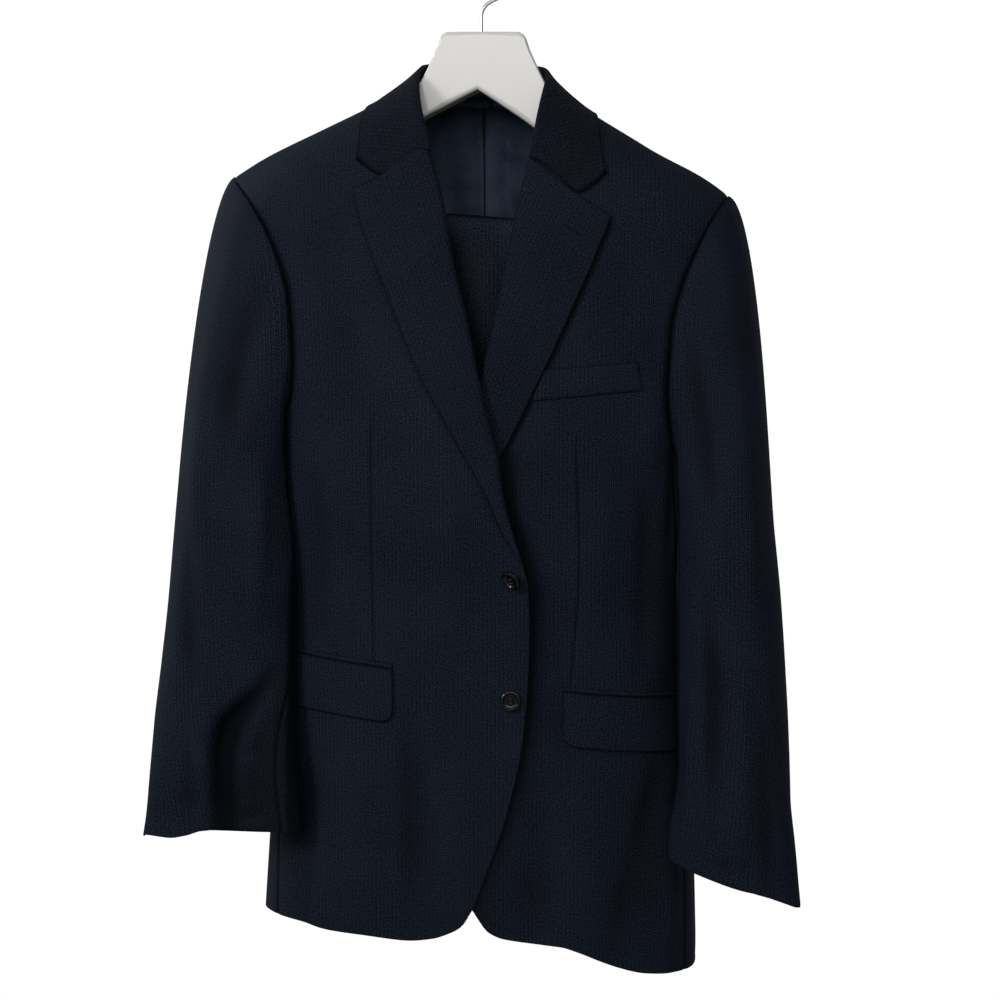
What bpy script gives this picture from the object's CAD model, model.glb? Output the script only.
# %% [markdown]
# # A two-piece suit on its hanger
#
# The suit is a dark navy jacket and trousers in worsted wool. The jacket hangs unbuttoned on a wide white
# hanger, its right front over its left front, and the trousers are folded over the hanger's bar inside it.
# Cloth is not modelled as a block here: every piece that a tailor cuts is a thin sheet, laid where its
# solid is in the frame, with the drape, the seams and the fine stripe that the real cloth has.
#
# The frame is loaded first. It holds one solid for each piece, in metres, with +Z up and the front facing
# -Y, and the dressed pieces take their places. Its box is kept, because the dressed model has to stay as
# large as the frame.

from math import cos, pi, radians, sin

import bpy
import numpy as np
from mathutils import Matrix, Vector


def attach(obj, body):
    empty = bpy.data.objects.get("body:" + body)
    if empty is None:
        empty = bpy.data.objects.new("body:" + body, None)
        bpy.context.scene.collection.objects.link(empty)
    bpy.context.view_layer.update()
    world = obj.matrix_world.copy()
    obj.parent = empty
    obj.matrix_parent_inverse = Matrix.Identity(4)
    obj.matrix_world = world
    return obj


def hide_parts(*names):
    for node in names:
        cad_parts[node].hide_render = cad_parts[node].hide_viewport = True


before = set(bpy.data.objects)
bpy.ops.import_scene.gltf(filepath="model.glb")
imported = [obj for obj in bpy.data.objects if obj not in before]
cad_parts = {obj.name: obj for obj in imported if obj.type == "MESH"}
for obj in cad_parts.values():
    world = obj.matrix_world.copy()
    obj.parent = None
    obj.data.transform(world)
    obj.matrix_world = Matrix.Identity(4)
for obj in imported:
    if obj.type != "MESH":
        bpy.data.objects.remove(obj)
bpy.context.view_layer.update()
bpy.ops.object.select_all(action="DESELECT")

# %% [markdown]
# ## Camera and studio
#
# The suit hangs at eye level, so the camera stands a little above its middle, slightly to its left, and
# looks down by a few degrees. A long lens keeps the shoulders and the hem at the same scale. The studio
# is a pale floor far below, a pale surround and three soft lights: one from the upper left, a large weak
# one high in front, and one from the side and behind. The folds in nearly black cloth then still show,
# and the flat faces of the buttons don't mirror a light.

# %% Camera
camera_data = bpy.data.cameras.new("camera")
camera_data.lens = 72
camera_data.sensor_width = 36
camera = bpy.data.objects.new("camera", camera_data)
camera.location = (0.1778, -1.8632, -0.339)
camera.rotation_euler = (radians(85), 0, radians(5))
bpy.context.scene.collection.objects.link(camera)
bpy.context.scene.camera = camera
print("camera", tuple(round(x, 3) for x in camera.location))

# %% Floor, surround and lights
FLOOR_LEVEL, FLOOR_SIZE = -1.3, 24
FLOOR_GLOW, WALL_GLOW = (1.02, 0.25), (1.05, 0.25)     # strength as seen, and as light on the suit


def add_nodes(tree, *kinds):
    return [tree.nodes.new("ShaderNode" + kind) for kind in kinds]


def seen_white(tree, glow, light, target):
    """White where it is looked at directly, and a weak soft light for everything else."""
    ray, seen, felt, choice = add_nodes(tree, "LightPath", *glow, "MixShader")
    seen.inputs["Color"].default_value = (1, 1, 1, 1)
    seen.inputs["Strength"].default_value = light[0]
    felt.inputs["Color"].default_value = (0.93, 0.96, 1.0, 1)
    felt.inputs["Strength"].default_value = light[1]
    tree.links.new(ray.outputs["Is Camera Ray"], choice.inputs["Fac"])
    tree.links.new(felt.outputs[0], choice.inputs[1])
    tree.links.new(seen.outputs[0], choice.inputs[2])
    tree.links.new(choice.outputs["Shader"], target.inputs["Surface"])


bpy.ops.mesh.primitive_plane_add(size=FLOOR_SIZE, location=(0, 0, FLOOR_LEVEL))
floor = bpy.context.object
floor.name = "studio_floor"
pale = bpy.data.materials.new("pale_floor")
pale.use_nodes = True
pale.node_tree.nodes.remove(pale.node_tree.nodes["Principled BSDF"])
seen_white(pale.node_tree, ("Emission", "Emission"), FLOOR_GLOW,
           pale.node_tree.nodes["Material Output"])
floor.data.materials.append(pale)
bpy.ops.object.select_all(action="DESELECT")

world = bpy.data.worlds.new("studio")
world.use_nodes = True
world.node_tree.nodes.clear()
seen_white(world.node_tree, ("Background", "Background"), WALL_GLOW,
           add_nodes(world.node_tree, "OutputWorld")[0])
bpy.context.scene.world = world
bpy.context.scene.view_settings.view_transform = "Standard"

# Lights: name, place, what it aims at, width, height, watts.
LIGHTS = [
    ("key_light", (-1.7, -2.0, 0.7), (0.0, 0.0, -0.45), 0.8, 1.0, 34),
    ("front_light", (0.2, -3.0, 0.75), (0.0, 0.0, -0.5), 2.0, 1.4, 27),
    ("rim_light", (-2.0, 0.5, 0.3), (-0.2, 0.0, -0.5), 0.9, 1.6, 18),
]
for name, place, aim, width, height, watts in LIGHTS:
    lamp_data = bpy.data.lights.new(name, "AREA")
    lamp_data.shape = "RECTANGLE"
    lamp_data.size = width
    lamp_data.size_y = height
    lamp_data.energy = watts
    lamp = bpy.data.objects.new(name, lamp_data)
    lamp.location = place
    lamp.rotation_euler = (Vector(aim) - Vector(place)).to_track_quat("-Z", "Y").to_euler()
    bpy.context.scene.collection.objects.link(lamp)
print("lights", len(LIGHTS))

# %% [markdown]
# ## The cloth's finish
#
# The wool is nearly black navy. Its stripe is only a shade: a thin line every 1.9 mm, every other one a
# little stronger, along the grain of each piece. Each piece's own map holds metres across and along its
# grain, so the stripe follows the cloth where it bends and slants with the lapels. A fine twill, a broken
# grain and a slow change of tone go over it, and wool's short fibres give it a faint sheen. Where cloth
# dives into a seam, lies under an edge or folds into itself, each piece carries a value named "hollow"
# that darkens it, because hardly any light gets out of such a place.

# %% Material helper
LINE_STEP, TWILL_STEP = 0.0019, 0.0008      # metres from stripe to stripe and from rib to rib
SHADE_COLOR = (0.0004, 0.0006, 0.001)      # of cloth that hardly any light gets out of


class Weave:
    """Small helper that adds nodes to one material and joins them."""

    def __init__(self, name, roughness):
        self.material = bpy.data.materials.new(name)
        self.material.use_nodes = True
        self.tree = self.material.node_tree
        self.shader = self.tree.nodes["Principled BSDF"]
        self.shader.inputs["Roughness"].default_value = roughness

    def node(self, kind, **settings):
        made = self.tree.nodes.new(kind)
        for key, value in settings.items():
            setattr(made, key, value)
        return made

    def join(self, source, target):
        self.tree.links.new(source, target)

    def math(self, operation, a, b=0.0, c=0.0):
        made = self.node("ShaderNodeMath", operation=operation)
        for socket, value in zip(made.inputs, (a, b, c)):
            if isinstance(value, (int, float)):
                socket.default_value = value
            else:
                self.join(value, socket)
        return made.outputs[0]

    def map(self):
        """Metres across and along the grain."""
        place = self.node("ShaderNodeUVMap", uv_map="cloth")
        parts = self.node("ShaderNodeSeparateXYZ")
        self.join(place.outputs["UV"], parts.inputs[0])
        return place.outputs["UV"], parts.outputs["X"], parts.outputs["Y"]

    def stretched(self, vector, scale):
        made = self.node("ShaderNodeMapping")
        made.inputs["Scale"].default_value = scale
        self.join(vector, made.inputs["Vector"])
        return made.outputs["Vector"]

    def add_up(self, start, *shares):
        """The start plus each value times its share."""
        for value, share in shares:
            start = self.math("MULTIPLY_ADD", value, share, start)
        return start

    def centred(self, value):
        return self.math("SUBTRACT", value, 0.5)

    def noise(self, vector, scale, detail=2.0):
        made = self.node("ShaderNodeTexNoise")
        made.inputs["Scale"].default_value = scale
        made.inputs["Detail"].default_value = detail
        self.join(vector, made.inputs["Vector"])
        return made.outputs["Fac"]

    def mix(self, factor, dark, light):
        """A colour between two, each a fixed colour or another node's output."""
        made = self.node("ShaderNodeMix", data_type="RGBA")
        for socket, color in ((made.inputs[6], dark), (made.inputs[7], light)):
            if isinstance(color, tuple):
                socket.default_value = (*color, 1)
            else:
                self.join(color, socket)
        self.join(factor, made.inputs["Factor"])
        return made.outputs[2]

    def shaded(self, color):
        """Darkens a colour where the piece says that it lies in a seam or under an edge."""
        hollow = self.node("ShaderNodeAttribute", attribute_name="hollow")
        return self.mix(hollow.outputs["Fac"], color, SHADE_COLOR)

    def bump(self, height, strength, distance):
        made = self.node("ShaderNodeBump")
        made.inputs["Strength"].default_value = strength
        made.inputs["Distance"].default_value = distance
        self.join(height, made.inputs["Height"])
        self.join(made.outputs["Normal"], self.shader.inputs["Normal"])


# %% Suiting
def suiting(name, dark, light, sheen):
    weave = Weave(name, 0.72)
    place, across, along = weave.map()
    line = weave.math("SINE", weave.math("MULTIPLY", across, 2 * pi / LINE_STEP))
    second = weave.math("SINE", weave.math("MULTIPLY", across, pi / LINE_STEP))
    slant = weave.math("ADD", across, along)
    twill = weave.math("SINE", weave.math("MULTIPLY", slant, 2 * pi / TWILL_STEP))
    grain = weave.noise(weave.stretched(place, (1.0, 0.75, 1.0)), 950.0)
    slow = weave.noise(place, 14.0)
    tone = weave.add_up(0.46, (line, 0.2), (second, 0.08), (twill, 0.05), (weave.centred(grain), 3.0),
                        (weave.centred(slow), 0.35))
    weave.join(weave.shaded(weave.mix(tone, dark, light)), weave.shader.inputs["Base Color"])
    weave.bump(weave.add_up(grain, (twill, 0.35), (line, 0.5)), 0.2, 0.00025)
    weave.shader.inputs["Sheen Weight"].default_value = sheen
    weave.shader.inputs["Sheen Roughness"].default_value = 0.45
    weave.shader.inputs["Sheen Tint"].default_value = (0.62, 0.74, 1.0, 1)
    weave.shader.inputs["Specular IOR Level"].default_value = 0.05
    return weave.material


wool = suiting("navy_suiting", (0.0007, 0.0012, 0.0032), (0.0165, 0.0222, 0.036), 0.01)
trouser_wool = suiting("navy_trousering", (0.003, 0.0048, 0.009), (0.043, 0.055, 0.08), 0.012)
print("made", wool.name, trouser_wool.name)

# %% [markdown]
# ## Lining, plastics, wire and thread
#
# The lining is a smooth satin of a lighter navy with a soft gloss across the weave. The buttons are
# dark horn-like plastic with cloudy streaks, the hanger is thick glossy white plastic and the hook is
# bright plated wire. Each one gets a slight unevenness, because no real surface has one flat colour.

# %% Lining and hard materials
def satin(name, dark, light):
    weave = Weave(name, 0.42)
    place = weave.map()[0]
    thread_tone = weave.noise(weave.stretched(place, (1.0, 0.1, 1.0)), 1600.0)
    slow = weave.noise(place, 30.0, 3.0)
    tone = weave.add_up(thread_tone, (weave.centred(slow), 1.3))
    weave.join(weave.shaded(weave.mix(tone, dark, light)), weave.shader.inputs["Base Color"])
    weave.bump(weave.add_up(thread_tone, (slow, 6.0)), 0.3, 0.0004)
    weave.shader.inputs["Sheen Weight"].default_value = 0.02
    weave.shader.inputs["Specular IOR Level"].default_value = 0.12
    return weave.material


def hard(name, dark, light, roughness, scale, metallic=0.0, coat=0.0, uneven=0.05, stretch=(1, 1, 1),
         specular=0.5):
    """A hard finish on Object coordinates with a cloudy change of colour and gloss."""
    made = Weave(name, roughness)
    place = made.node("ShaderNodeTexCoord").outputs["Object"]
    cloud = made.noise(made.stretched(place, stretch), scale, 4.0)
    made.join(made.mix(cloud, dark, light), made.shader.inputs["Base Color"])
    rough = made.math("MULTIPLY_ADD", cloud, uneven, roughness - uneven / 2)
    made.join(rough, made.shader.inputs["Roughness"])
    made.bump(cloud, 0.04, 0.0003)
    made.shader.inputs["Metallic"].default_value = metallic
    made.shader.inputs["Coat Weight"].default_value = coat
    made.shader.inputs["Specular IOR Level"].default_value = specular
    made.shader.inputs["Coat Roughness"].default_value = 0.05
    return made.material


lining_satin = satin("navy_lining", (0.02, 0.03, 0.055), (0.081, 0.111, 0.17))
horn = hard("dark_horn", (0.001, 0.0009, 0.0008), (0.005, 0.0042, 0.0035), 0.09, 190.0, coat=0.15,
            uneven=0.06, stretch=(1, 1, 3), specular=0.28)
white_plastic = hard("white_plastic", (0.7, 0.676, 0.636), (0.735, 0.711, 0.67), 0.18, 26.0, coat=0.5)
bright_wire = hard("bright_wire", (0.55, 0.55, 0.57), (0.72, 0.72, 0.74), 0.14, 120.0, metallic=1.0)
THREAD_SCALE = 2400.0
buttonhole_thread = hard("buttonhole_thread", (0.0026, 0.0034, 0.0052), (0.006, 0.008, 0.013), 0.8,
                         THREAD_SCALE, specular=0.05)
dark_thread = hard("dark_thread", (0.004, 0.005, 0.008), (0.012, 0.014, 0.022), 0.65, THREAD_SCALE)
print("materials", len(bpy.data.materials))

# %% [markdown]
# ## The form under the cloth
#
# A jacket that hangs is a tube of cloth with rounded shoulders. Measured from level to level it has a half
# width, a depth in front and a depth behind, and its level section is a soft box, a superellipse. The same
# tables of sizes gave the frame its solids, so cloth that is laid on this form lies where the solids are.
# The whole suit leans a little, because its left side hangs lower, and every point gets that lean last.

# %% Sizes of the jacket's body, in metres
RIGHT, LEFT = -1, 1       # the wearer's sides, at -X and +X
FRONT, BACK = -1, 1       # faces at -Y and +Y
CLOTH, LAPEL_WALL, FLAP_WALL, TRIM_WALL = 0.0016, 0.002, 0.002, 0.001
SEAM, REST = -0.0001, 0.0004      # the gap in a seam, which is closed, and between layers
SQUARE = 2.6              # how boxy a level section is: 2 is an ellipse
ARCH = 0.055              # height over which the shoulder rounds over the hanger
ARMHOLE_LOW, ARMHOLE_FLOOR, BACK_HEM = -0.438, -0.458, -0.916
BREAK_LEVEL, GORGE_LEVEL = -0.543, -0.187
NECK_HALF, NECK_DIP = 0.076, 0.0365

# Level sections: z, half width, depth in front, depth behind.
SECTIONS = [
    (-0.08, 0.275, 0.055, 0.066), (-0.16, 0.262, 0.066, 0.074), (-0.216, 0.25, 0.074, 0.08),
    (-0.29, 0.226, 0.083, 0.083), (-0.383, 0.207, 0.088, 0.08), (-0.458, 0.2, 0.089, 0.075),
    (-0.6, 0.189, 0.085, 0.062), (-0.75, 0.196, 0.087, 0.068), (-0.915, 0.2055, 0.091, 0.077),
]
SWAY = [(-0.5, 0.0), (-0.915, -0.0045)]     # centre of each level section: z, x
# The lean: drop as a share of x far down, the level it starts at, the height it fades in over.
LEAN, LEAN_START, LEAN_FADE = 0.103, -0.026, 0.169
# Line of the shoulders: distance from the centre, z. Its first row mirrors the third.
SHOULDER = [(-0.03, -0.097), (0.0, -0.088), (0.03, -0.097), (0.06, -0.116), (0.076, -0.1265),
            (0.1, -0.1405), (0.15, -0.1675), (0.2, -0.195), (0.234, -0.218), (0.27, -0.243)]
# Armhole on the front and on the back: distance from the centre, z, from the side seam to the tip.
ARMHOLE_FRONT = {
    RIGHT: [(0.18, -0.438), (0.1725, -0.415), (0.1685, -0.383), (0.1715, -0.331), (0.183, -0.292),
            (0.2075, -0.247), (0.234, -0.218)],
    LEFT: [(0.18, -0.438), (0.1755, -0.415), (0.172, -0.383), (0.1748, -0.331), (0.184, -0.292),
           (0.204, -0.247)],
}
ARMHOLE_BACK = {
    RIGHT: [(0.185, -0.438), (0.18, -0.4), (0.1785, -0.35), (0.184, -0.3), (0.199, -0.26),
            (0.218, -0.235), (0.234, -0.218)],
    LEFT: [(0.185, -0.438), (0.18, -0.4), (0.1785, -0.35), (0.184, -0.3), (0.196, -0.26),
           (0.211, -0.231)],
}
# Distance of the side seams from the centre: at the armhole, at the hem.
SIDE_SEAM = {FRONT: (0.18, 0.1905), BACK: (0.185, 0.176)}
print("half width at the chest", SECTIONS[5][1])


# %% Curves through the tables
def hermite(t, start, end, leave, arrive):
    """From start at t = 0 to end at t = 1, with the slopes it leaves and arrives with."""
    return ((1 + 2 * t) * (1 - t) ** 2 * start + t * (1 - t) ** 2 * leave
            + t * t * (3 - 2 * t) * end + t * t * (t - 1) * arrive)


def curve(rows, column=1):
    """A smooth curve through a table, without overshoot. Its key is the first column."""
    rows = sorted(rows)
    keys = np.array([row[0] for row in rows])
    values = np.array([row[column] for row in rows])
    steps = np.diff(keys)
    rates = np.diff(values) / steps
    slopes = np.zeros(len(keys))
    slopes[0], slopes[-1] = rates[0], rates[-1]
    for i in range(1, len(keys) - 1):
        if rates[i - 1] * rates[i] > 0:
            slopes[i] = 2 * rates[i - 1] * rates[i] / (rates[i - 1] + rates[i])

    def value(key):
        key = np.clip(key, keys[0], keys[-1])
        i = np.clip(np.searchsorted(keys, key) - 1, 0, len(steps) - 1)
        t = (key - keys[i]) / steps[i]
        return hermite(t, values[i], values[i + 1], steps[i] * slopes[i], steps[i] * slopes[i + 1])

    return value


def path(points):
    """A smooth line through points, as a function of the part of its length."""
    points = np.array(points, float)
    lengths = np.concatenate([[0], np.cumsum(np.linalg.norm(np.diff(points, axis=0), axis=1))])
    axes = [curve(list(zip(lengths, points[:, axis]))) for axis in range(points.shape[1])]
    return lambda part: np.stack([axis(np.asarray(part) * lengths[-1]) for axis in axes], axis=-1)


def blend(a, b, part):
    return a + (b - a) * part


def ease(value, start, end):
    """0 before start and 1 after end, with a soft change between."""
    t = np.clip((value - start) / (end - start), 0.0, 1.0)
    return t * t * (3 - 2 * t)


def window(value, rise, full, fall, end):
    """0 up to rise, 1 from full to fall and 0 again from end on."""
    return ease(value, rise, full) * (1 - ease(value, fall, end))


def bell(distance, width):
    """1 at no distance, fading out on both sides."""
    return np.exp(-(distance / width) ** 2)


def unit(vectors):
    return vectors / np.maximum(np.linalg.norm(vectors, axis=-1, keepdims=True), 1e-12)


half_width, front_depth, back_depth = (curve(SECTIONS, column) for column in (1, 2, 3))
sway = curve(SWAY)
shoulder = curve(SHOULDER)
LEFT_TIP = 0.225
for lines in (ARMHOLE_FRONT, ARMHOLE_BACK):     # front and back meet on the line of the shoulders
    lines[LEFT].append((LEFT_TIP, float(shoulder(LEFT_TIP))))
print("shoulder at 150 mm", round(float(shoulder(0.15)), 4))


# %% Level sections
def body_depth(y, z):
    """Depth of the body's middle at a level: in front for y below 0, otherwise behind."""
    return np.where(y < 0, front_depth(z), back_depth(z))


def box_depth(part, square=SQUARE):
    """Depth of a level section, 1 at its middle, at a part of its half width."""
    return (1 - part ** square) ** (1 / square)


def box_size(turn, square=SQUARE):
    """Distance of a level section's edge from its middle, for half sizes of 1."""
    return (np.abs(np.sin(turn)) ** square + np.abs(np.cos(turn)) ** square) ** (-1 / square)


def half_gap(z):
    """Angle that half the gap of a seam takes up."""
    return 0.5 * SEAM / half_width(z)


def turn_at(x, z):
    """Angle round a level section, from the centre front or back, of a point at x."""
    part = np.minimum(np.abs(x - sway(z)) / half_width(z), 0.99999)
    power = part ** SQUARE
    turn = np.arctan((power / (1 - power)) ** (1 / SQUARE))
    return np.where(x > sway(z), turn, -turn)


def section_point(turn, z):
    """x and depth (1 at the centre) of the point of a level section at an angle."""
    size = box_size(turn)
    return sway(z) + size * np.sin(turn) * half_width(z), size * np.cos(turn)


# %% Points on the body
def field(x, y, z):
    """Grows outwards through the body's surface: only its slope is used."""
    depth = body_depth(y, z)
    part = np.abs(x - sway(z)) / half_width(z)
    spring = shoulder(np.abs(x)) - ARCH
    arched = (y / (depth * box_depth(np.minimum(part, 0.999)))) ** 2 + ((z - spring) / ARCH) ** 2
    return np.where(z > spring, arched, part ** SQUARE + (np.abs(y) / depth) ** SQUARE)


def outward(points):
    """Unit vectors out of the body's surface at points on it."""
    step = 1e-4
    slope = []
    for axis in range(3):
        move = np.zeros(3)
        move[axis] = step
        ahead, behind = points + move, points - move
        slope.append(field(*np.moveaxis(ahead, -1, 0)) - field(*np.moveaxis(behind, -1, 0)))
    return unit(np.stack(slope, axis=-1))


def on_body(x, z, face, lift=0.0):
    """Points of the body's front or back at x and z, moved out by lift."""
    x, z = np.broadcast_arrays(np.asarray(x, float), np.asarray(z, float))
    part = np.minimum(np.abs(x - sway(z)) / half_width(z), 1.0)
    depth = body_depth(face, z) * box_depth(part)
    low = np.clip((shoulder(np.abs(x)) - z) / ARCH, 0.0, 1.0)
    points = np.stack([x, face * depth * np.sqrt(1 - (1 - low) ** 2), z], axis=-1)
    return points + outward(points) * np.asarray(lift)[..., None]


def lean(z):
    """Drop per metre sideways at a level."""
    return LEAN * (1 - np.exp(np.minimum(z - LEAN_START, 0.0) / LEAN_FADE))


def leaned(points):
    """Points of the level suit with its lean, and with the fullness of the left shoulder's tip."""
    moved = np.array(points, float)
    x, z = moved[..., 0], moved[..., 2]
    full = 0.006 * window(x, 0.15, 0.222, 0.228, 0.256) * ease(z, -0.33, -0.23)
    moved[..., 2] = z - lean(z) * x + full
    return moved


def cavity(height, depth):
    """How deep in a trough a point lies, from 0 to 1 at a depth."""
    return np.clip(-height / depth, 0, 1)


def overlap_lift(x, z):
    """How far the right front stands out where it lies over the left front and its lapel."""
    over_lapel = 0.008 * window(z, -0.61, -0.52, -0.4, -0.3)
    at_edge = 0.003 * ease(x, 0.012, 0.05) * (1 - ease(z, -0.56, -0.5))
    return (0.0026 + over_lapel) * ease(x, -0.12, -0.03) + at_edge


def panel_lift(side, x, z):
    return overlap_lift(x, z) if side == RIGHT else np.zeros(np.broadcast(x, z).shape)


print("front at the chest", np.round(leaned(on_body(0.1, -0.4, FRONT)), 4))

# %% [markdown]
# ## Folds placed by hand
#
# Cloth on a hanger falls in a few long soft folds: drags from the shoulder's end, hollows beside the
# lapels and slack at the waist and the hem. A simulation would put them anywhere, so each one is
# placed by hand. A fold is a line on the body with its own depth and width. It fades in and out
# along its length, and one flank may be steeper. Ridges are positive and troughs negative. The panels,
# flaps, lapels and buttons all read the same folds, so cloth that lies on cloth moves with it.

# %% Fold helpers
def fold_height(u, v, folds):
    """Height of folds at places. Each fold is a line of places, height, width and skew."""
    height = np.zeros(np.broadcast(u, v).shape)
    for line, tall, wide, skew in folds:
        line = path(line)(np.linspace(0, 1, 11)) if len(line) > 2 else np.array(line, float)
        best = np.full(height.shape, np.inf)
        place = np.zeros(height.shape)
        hand = np.zeros(height.shape)
        run = 0.0
        steps = np.diff(line, axis=0)
        whole = np.linalg.norm(steps, axis=1).sum()
        for start, step in zip(line[:-1], steps):
            length = np.hypot(*step)
            ahead = ((u - start[0]) * step[0] + (v - start[1]) * step[1]) / length
            held = np.clip(ahead, 0, length)
            away = np.hypot(u - start[0] - step[0] * held / length, v - start[1] - step[1] * held / length)
            nearer = away < best
            best = np.where(nearer, away, best)
            place = np.where(nearer, (run + held) / whole, place)
            turned = np.sign((u - start[0]) * step[1] - (v - start[1]) * step[0])
            hand = np.where(nearer, turned, hand)
            run += length
        fade = np.sin(pi * np.clip(place, 0, 1)) ** 0.7
        uneven = 1 + 0.22 * np.sin(7.3 * place + 40 * line[0][0]) + 0.12 * np.sin(17.1 * place + 9)
        reach = wide * (1 + skew * hand) * (0.75 + 0.35 * fade)
        height += tall * fade * uneven * bell(best, reach)
    return height


# %% Folds of the body
# On the front: x and z along each fold, then height and width, all in millimetres, and skew.
FRONT_FOLDS = [
    ([(-215, -262), (-196, -330), (-184, -430), (-176, -520)], -4.4, 11, 0.2),
    ([(-196, -270), (-172, -350), (-160, -460)], 3.4, 14, 0.0),
    ([(-140, -230), (-128, -330), (-118, -430)], -2.6, 17, -0.2),
    ([(-105, -240), (-85, -360), (-60, -480)], 2, 16, 0.0),
    ([(-18, -490), (-17, -560), (-19, -640)], 3, 13, 0.0),
    ([(-150, -480), (-146, -560), (-150, -650)], -3, 16, 0.3),
    ([(-110, -700), (-104, -800), (-110, -910)], 4.2, 22, 0.2),
    ([(-60, -683), (-58.6, -775), (-57.5, -850), (-59, -915)], -5.2, 13.5, -0.3),
    ([(-160, -730), (-156, -820), (-162, -925)], -4.4, 18, 0.3),
    ([(-22, -690), (-12, -790), (-14, -890)], 2.8, 17, 0.0),
    ([(215, -268), (194, -330), (180, -430), (172, -540)], -4.2, 11, -0.2),
    ([(190, -290), (168, -370), (150, -480)], 2.8, 15, 0.0),
    ([(135, -240), (128, -330), (105, -350)], -2, 16, 0.0),
    ([(120, -430), (112, -520), (104, -640)], 2.4, 17, 0.0),
    ([(45, -470), (46, -535), (50, -610)], 3, 13, 0.0),
    ([(150, -450), (152, -560), (148, -650)], -3, 14, -0.2),
    ([(72, -560), (76, -650), (88, -760)], -2.4, 18, 0.2),
    ([(105, -720), (100, -820), (92, -915)], 3.6, 20, 0.0),
    ([(60, -740), (58, -830), (52, -910)], -3.4, 18, 0.2),
    ([(166, -712), (152, -790), (135, -860), (120, -925)], -4.6, 18, -0.3),
    ([(180, -760), (178, -850), (172, -925)], 3, 14, 0.0),
]
# On the back: the same, with long soft falls from the shoulder blades and slack at the waist.
BACK_FOLDS = [
    ([(-205, -270), (-178, -370), (-160, -500)], -3, 14, 0.2),
    ([(-150, -210), (-128, -340), (-110, -520)], 2.2, 22, 0.0),
    ([(-70, -180), (-60, -330), (-55, -520)], -1.5, 22, 0.0),
    ([(-120, -560), (-80, -580), (-30, -575)], -1.4, 13, 0.0),
    ([(-100, -640), (-92, -770), (-98, -910)], 3.2, 27, 0.1),
    ([(-52, -680), (-40, -800), (-38, -912)], -2.4, 20, 0.0),
    ([(-150, -650), (-142, -780), (-145, -910)], -3, 22, 0.2),
    ([(205, -275), (180, -370), (158, -510)], -2.8, 14, -0.2),
    ([(150, -215), (130, -350), (108, -540)], 2, 21, 0.0),
    ([(75, -190), (64, -320), (60, -500)], -1.4, 20, 0.0),
    ([(120, -545), (75, -570), (20, -560)], -1.3, 12, 0.0),
    ([(85, -650), (96, -780), (92, -912)], 3, 26, -0.1),
    ([(40, -660), (34, -780), (40, -912)], -2.2, 18, 0.0),
    ([(140, -670), (150, -790), (146, -912)], -2.8, 22, 0.0),
]
# Under the arms: angle from the centre front times 200 mm, z.
SIDE_FOLDS = [
    ([(-300, -480), (-305, -600), (-310, -720)], -2, 16, 0.0),
    ([(-330, -700), (-325, -800), (-330, -912)], 2.6, 20, 0.1),
    ([(300, -480), (310, -610), (305, -720)], -2, 16, 0.0),
    ([(328, -690), (332, -800), (326, -912)], 2.6, 20, -0.1),
]
GIRTH = 0.2


def metres(folds):
    """Folds of a table in millimetres."""
    return [([(u / 1000, v / 1000) for u, v in line], tall / 1000, wide / 1000, skew)
            for line, tall, wide, skew in folds]


def placed(folds, face):
    """Folds given by x and z in millimetres, changed to places round the body."""
    made = []
    for line, tall, wide, skew in metres(folds):
        turned = []
        for x, z in line:
            turn = float(turn_at(x, z))
            if face == BACK:
                turn = (pi if turn > 0 else -pi) - turn
            turned.append((GIRTH * turn, z))
        made.append((turned, tall, wide, skew))
    return made


front_folds = placed(FRONT_FOLDS, FRONT) + metres(SIDE_FOLDS)
back_folds = placed(BACK_FOLDS, BACK) + metres(SIDE_FOLDS)


def body_fold(points, face):
    """Height of the folds at points of the body."""
    x, y, z = np.moveaxis(points, -1, 0)
    turn = turn_at(x, z)
    turn = np.where(y > 0, np.where(turn > 0, pi, -pi) - turn, turn)
    held = ease(shoulder(np.abs(x)) - z, 0.008, 0.06)
    return fold_height(GIRTH * turn, z, front_folds if face == FRONT else back_folds) * held


def on_cloth(x, z, face, lift=0.0):
    """Points of the hanging cloth at x and z, with its folds, and the directions out of the body."""
    points = on_body(x, z, face, lift)
    normals = outward(points)
    return points + normals * body_fold(points, face)[..., None], normals


print("folds", len(front_folds), len(back_folds))

# %% [markdown]
# ## From a grid of points to a sheet of cloth
#
# Each cut piece starts as a grid of points for its outer face, with its map in metres beside it. The
# helper makes the face, gives it the wall with Solidify, eases the raw edge with Bevel, and puts the
# lining's finish on the inside where the real piece is lined. It also tells the frame what the piece
# replaces and how large its cut is, which is the length of its rows and columns on the grid.

# %% Helpers for grids
ROLL_IN, ROLL_REACH = 0.0009, 0.0024      # how far a seam edge turns in, and over which width
SEAM_HOLLOW = 0.75                        # how dark the cloth is where it dives into a seam
LEAST_CUT = 0.0102                        # width that the narrowest strip is cut to
# Closer steps near the ends of a grid, as parts of its length.
HEM_STEPS, END_STEPS, CAP_STEPS = (0.004, 0.01), (0.012, 0.03), (0.006, 0.014)
SEAM_STEPS, PANEL_STEPS = (0.004, 0.009, 0.016, 0.026), (0.004, 0.01, 0.018)
NARROW_STEPS = (0.02, 0.045, 0.08)


def spread(count, first=(), last=()):
    """Even steps from 0 to 1, with closer ones near the ends for the turn of a seam."""
    steps = set(np.linspace(0, 1, count))
    steps |= set(first) | {1 - part for part in last}
    steps = np.array(sorted(steps))
    return steps[np.concatenate([[True], np.diff(steps) > 1e-4])]


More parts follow.
